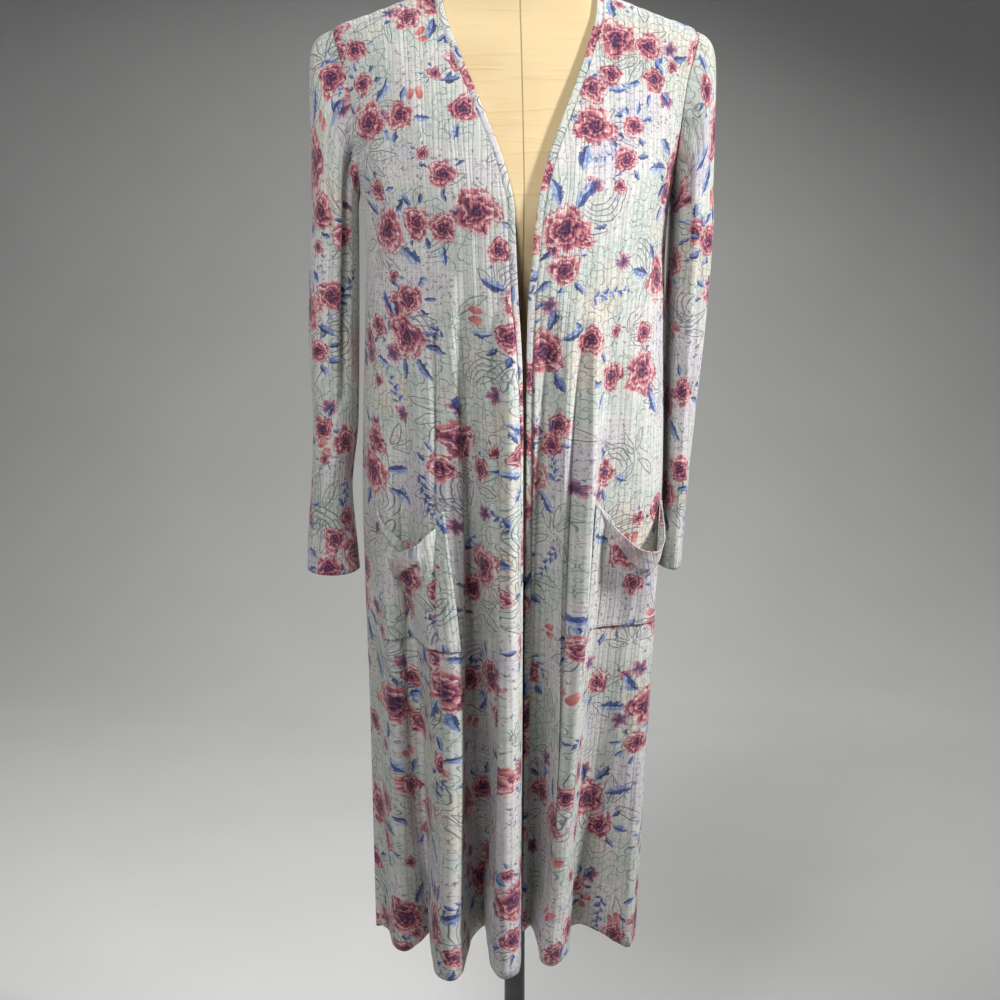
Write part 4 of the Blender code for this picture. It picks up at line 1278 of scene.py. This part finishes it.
points = band_points()
normals = grid_normals(points)
for k, inset in enumerate(np.linspace(0, BAND_WIDTH, BAND_LANES)):
    for side, rows in ((-1, slice(0, LOW_ROWS)), (1, slice(-1, -LOW_ROWS - 1, -1))):
        angle, z = front_edge_curve(side, inset)
        normals[rows, k] = body_normals(SIDE_FOLDS[side], angle, z)[:LOW_ROWS]
crown = np.sin(np.linspace(0, math.pi, BAND_LANES)) ** 0.5
along = np.broadcast_to(lengths(points[:, :1], 0), points.shape[:2])
wide = np.broadcast_to(np.linspace(0, BAND_WIDTH, BAND_LANES), points.shape[:2])
maps = (("print", wide + BAND_PRINT_START, along), ("ribs", wide + BAND_RIB_START, along))
bm = bmesh.new()
grid_surface(bm, points + normals * (BAND_WALL + BAND_BULGE * (crown - 1))[None, :, None], maps=maps)
bmesh.ops.recalc_face_normals(bm, faces=bm.faces)
face_outward(bm, normals)
band = finish_piece("neck_band", bm, rib_jersey, BAND_SHEET)
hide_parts("neckband")


# Pockets: two patch pockets low on the fronts, their mouths sagging open
# Squares of the same jersey, stitched down on three sides. The turned band of the mouth flops outward, widest
# where the mouth sags most, and shows the paler wrong side of the print.
CAD_COLUMNS = 34
POCKET_ROWS = 100
POCKET_BULGE = 0.030
BULGE_ACROSS, BULGE_UP = 1.2, 1.6
DROOP_CURVE = 1.5
MOUTH_BAND = 0.026
BAND_ENDS = 0.004
MOUTH_LIFT = 0.0050
LIFT_AT_TURN = 0.3
MOUTH_TILT = 0.010
MOUTH_BLUR = 8
BAND_STEP = 0.0004
POCKET_CLEAR = 0.0006
POCKET_RIB_START = 0.004
WRONG_SIDE = 0.45
POCKETS = {
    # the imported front's column at the near side and at the far side, bottom, top, sag, share where it sags most
    -1: (14, 27, 0.735, 0.893, 0.050, 0.46),
    1: (12, 28, 0.745, 0.897, 0.050, 0.66),
}


def pocket_points(side):
    """Inner face of a pocket: the front's own points moved out, with the mouth sagging open.

    Gives its points and normals, the smoothed direction in which the mouth opens, and each column's droop.
    """
    near, far, bottom, top, sag, lowest = POCKETS[side]
    finer = FRONT_COLUMNS // CAD_COLUMNS
    columns = np.arange(near * finer, far * finer + 1)
    share = np.linspace(0, 1, len(columns))
    rise = np.linspace(0, 1, POCKET_ROWS + 1)
    bend = np.where(share < lowest, share / lowest, (1 - share) / (1 - lowest))
    droop = np.sin(bend * math.pi / 2) ** DROOP_CURVE
    top_z = top - sag * droop - MOUTH_TILT * share
    z = bottom + (top_z[None] - bottom) * rise[:, None]
    panel = fronts[side][0][: LOW_ROWS + 1, columns]
    base = np.stack([along_line(z[:, k], panel[:, k, 2], panel[:, k]) for k in range(len(columns))], axis=1)
    normals = grid_normals(base)
    padded = np.pad(normals, ((0, 0), (MOUTH_BLUR, MOUTH_BLUR), (0, 0)), mode="edge")
    window = 2 * MOUTH_BLUR + 1
    outward = sum(padded[:, k : k + len(columns)] for k in range(window)) / window
    open_out = POCKET_BULGE * droop[None] ** BULGE_ACROSS * rise[:, None] ** BULGE_UP
    points = base + normals * (SEAM + POCKET_CLEAR) + outward * open_out[..., None]
    return points, normals, outward, droop


wrong_side = printed_jersey("jersey_wrong_side", WRONG_SIDE)
pocket_faces = []
for side, name, shift in ((-1, "left", (6.35, 0.51)), (1, "right", (7.12, 0.12))):
    points, normals, outward, droop = pocket_points(side)
    u, v = lengths(points, 1), lengths(points, 0)
    from_mouth = v[-1:] - v
    band = (BAND_ENDS + (MOUTH_BAND - BAND_ENDS) * droop)[None]
    flop = between(LIFT_AT_TURN, 1, np.clip(from_mouth / band, 0, 1))
    hang = MOUTH_LIFT * flop * droop[None] ** 0.5
    band_lift = hang / (1 + np.exp(np.clip((from_mouth - band) / BAND_STEP, -40, 40)))
    ribs = u + POCKET_RIB_START
    maps = (("print", u + shift[0], v + shift[1]), ("ribs", ribs, v))
    outer = points + normals * (SHEET_WALL + ridged(ribs))[..., None] + outward * band_lift[..., None]
    bm = bmesh.new()
    table = grid_surface(bm, outer, maps=maps)
    turned = {table[r][c] for r, c in zip(*np.nonzero(from_mouth < band))}
    for face in bm.faces:
        face.material_index = int(turned.issuperset(face.verts))
    face_outward(bm, normals)
    pocket = finish_piece(name + "_pocket", bm, rib_jersey, SHEET_WALL)
    pocket.data.materials.append(wrong_side)
    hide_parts("pocket_" + name)
    name + "_front"
    pocket_faces.append((outer, from_mouth, u, v, band))


# Sewing: pale polyester thread on the face of the jersey
# A twin-needle row holds the turned hem and each cuff, and single rows hold the pocket mouths and pocket edges.
THREAD = (196, 194, 196)
THREAD_SHADE = (170, 168, 172)
STITCH_STEP = 0.0034
STITCH_SIZE = (0.0023, 0.00055, 0.0004)
STITCH_PROUD = 0.4
TWIN_GAP = 0.0045
HEM_TURN = 0.020
CUFF_TURN = 0.020
POCKET_EDGE = 0.003
BAND_EDGE = 0.002


def along_columns(points, normals, travelled, distance):
    """The line across a grid where each column has travelled a distance, and the outward normals there."""
    line, out = np.empty(points.shape[1:]), np.empty(points.shape[1:])
    for k in range(points.shape[1]):
        order = np.argsort(travelled[:, k])
        line[k] = along_line(distance, travelled[order, k], points[order, k])
        out[k] = along_line(distance, travelled[order, k], normals[order, k])
    return line, unit(out)


def stitched(bm, line, out):
    """A row of small flat stitches along a line on the cloth."""
    travelled = lengths(line[:, None], 0)[:, 0]
    places = np.arange(STITCH_STEP / 2, travelled[-1], STITCH_STEP)
    middle = along_line(places, travelled, line)
    ahead = along_line(places + STITCH_STEP / 4, travelled, line)
    up = along_line(places, travelled, out)
    for spot, front, normal in zip(middle, ahead, up):
        run = Vector(front - spot).normalized()
        normal = Vector(normal).normalized()
        lie = Matrix((run, normal.cross(run), normal)).transposed().to_4x4()
        lie.translation = Vector(spot) + normal * STITCH_SIZE[2] * STITCH_PROUD
        bmesh.ops.create_cube(bm, size=1.0, matrix=lie @ Matrix.Diagonal((*STITCH_SIZE, 1.0)))


thread, tree, shader = new_material("thread", 0.55, sheen=0.1)
place = made(tree, "TexCoord", "Object")
twist = noise(place, 900.0, 1.0)
plug(tree, shader.inputs["Base Color"], twist.graded(((0.3, THREAD_SHADE), (0.7, THREAD))))
raise_surface(tree, shader, twist, 0.0002)

for name, turn_up, faces in (("hem_stitches", HEM_TURN, hems), ("cuff_stitches", CUFF_TURN, cuffs)):
    bm = bmesh.new()
    for outer, normals, travelled in faces:
        for away in (turn_up, turn_up + TWIN_GAP):
            stitched(bm, *along_columns(outer, normals, travelled, away))
    finish_piece(name, bm, thread)

bm = bmesh.new()
for outer, from_mouth, u, v, band in pocket_faces:
    normals = grid_normals(outer)
    stitched(bm, *along_columns(outer, normals, band - from_mouth, BAND_EDGE))
    stitched(bm, *along_columns(outer, normals, v, POCKET_EDGE))
    across, normals = np.swapaxes(outer, 0, 1), np.swapaxes(normals, 0, 1)
    stitched(bm, *along_columns(across, normals, u.T, POCKET_EDGE))
    stitched(bm, *along_columns(across, normals, (u[:, -1:] - u).T, POCKET_EDGE))
finish_piece("pocket_stitches", bm, thread)


# Room: a plain pale floor that sweeps up behind, and four soft lights
# The key stands high on the right and rakes across the folds; the others reach the chest, the near side and the
# floor behind. The camera is a little below the form's shoulders and looks down at it.
FLOOR_GREY = (226, 226, 224)
FLOOR_SHADE = (222, 222, 220)
FLOOR_HALF = 7.0
FLOOR_FRONT, FLOOR_BACK = -6.0, 2.0
FLAT_SHARE = 0.6
SWEEP_DEPTH, SWEEP_HEIGHT = 1.6, 4.16
FLOOR_ROWS = 60

floor_paint, tree, shader = new_material("floor_paint", 0.9)
place = made(tree, "TexCoord", "Object")
mottle = noise(place, 3.0, 2.0)
plug(tree, shader.inputs["Base Color"], mottle.graded(((0.3, FLOOR_GREY), (0.7, FLOOR_SHADE))))
share = np.linspace(0, 1, FLOOR_ROWS)
bend = np.maximum(share - FLAT_SHARE, 0) / (1 - FLAT_SHARE) * math.pi / 2
depth = between(FLOOR_FRONT, FLOOR_BACK, np.minimum(share / FLAT_SHARE, 1)) + SWEEP_DEPTH * np.sin(bend)
rise = SWEEP_HEIGHT * (1 - np.cos(bend))
width = np.linspace(-FLOOR_HALF, FLOOR_HALF, 3)
bm = bmesh.new()
grid_surface(bm, np.stack(np.broadcast_arrays(width[None], depth[:, None], rise[:, None]), axis=-1))
studio_floor = new_object("studio_floor", bm, floor_paint)

for name, spot, aim, size, power, spread in (
    # name, place, where it points, width, watts, spread in degrees
    ("key", (2.4, -0.9, 2.4), (-0.80, 0.0, 0.50), 0.35, 7.6, 45.0),
    ("front", (-0.7, -1.5, 2.7), (-0.24, 0.0, 1.30), 0.6, 2.8, 50.0),
    ("fill", (-1.0, -2.4, 1.8), (-0.25, 0.0, 0.70), 0.9, 1.2, 60.0),
    ("back", (0.4, 2.0, 3.0), (0.0, 0.8, 0.8), 1.6, 34.0, 150.0),
):
    lamp = bpy.data.lights.new(name, "AREA")
    lamp.size = size
    lamp.energy = power
    lamp.spread = math.radians(spread)
    light = bpy.data.objects.new(name, lamp)
    toward = np.array(aim) - np.array(spot)
    flat = math.hypot(toward[0], toward[1])
    light.location = spot
    light.rotation_euler = (math.atan2(flat, -toward[2]), 0, math.atan2(-toward[0], toward[1]))
    bpy.context.scene.collection.objects.link(light)

ROOM_TINT = (0.96, 0.97, 1.0, 1.0)
ROOM_STRENGTH = 0.07

world = bpy.data.worlds.new("room")
world.use_nodes = True
glow = world.node_tree.nodes["Background"]
glow.inputs["Color"].default_value = ROOM_TINT
glow.inputs["Strength"].default_value = ROOM_STRENGTH
bpy.context.scene.world = world
bpy.context.scene.view_settings.view_transform = "Standard"

CAMERA_TURN = math.radians(-3.3)
CAMERA_TILT = math.radians(11.0)
CAMERA_AWAY = 1.90
CAMERA_HEIGHT = 1.25
CAMERA_ASIDE = -0.018
FOCAL_PIXELS = 1656.0
PICTURE_PIXELS = 1000
SENSOR_WIDTH = 36.0

ahead = np.array([-math.sin(CAMERA_TURN), math.cos(CAMERA_TURN)])
aside = np.array([math.cos(CAMERA_TURN), math.sin(CAMERA_TURN)])
eye = -ahead * CAMERA_AWAY + aside * CAMERA_ASIDE
lens = bpy.data.cameras.new("camera")
lens.sensor_width = SENSOR_WIDTH
lens.lens = SENSOR_WIDTH * FOCAL_PIXELS / PICTURE_PIXELS
camera = bpy.data.objects.new("camera", lens)
camera.location = (eye[0], eye[1], CAMERA_HEIGHT)
camera.rotation_euler = (math.pi / 2 - CAMERA_TILT, 0, CAMERA_TURN)
bpy.context.scene.collection.objects.link(camera)
bpy.context.scene.camera = camera
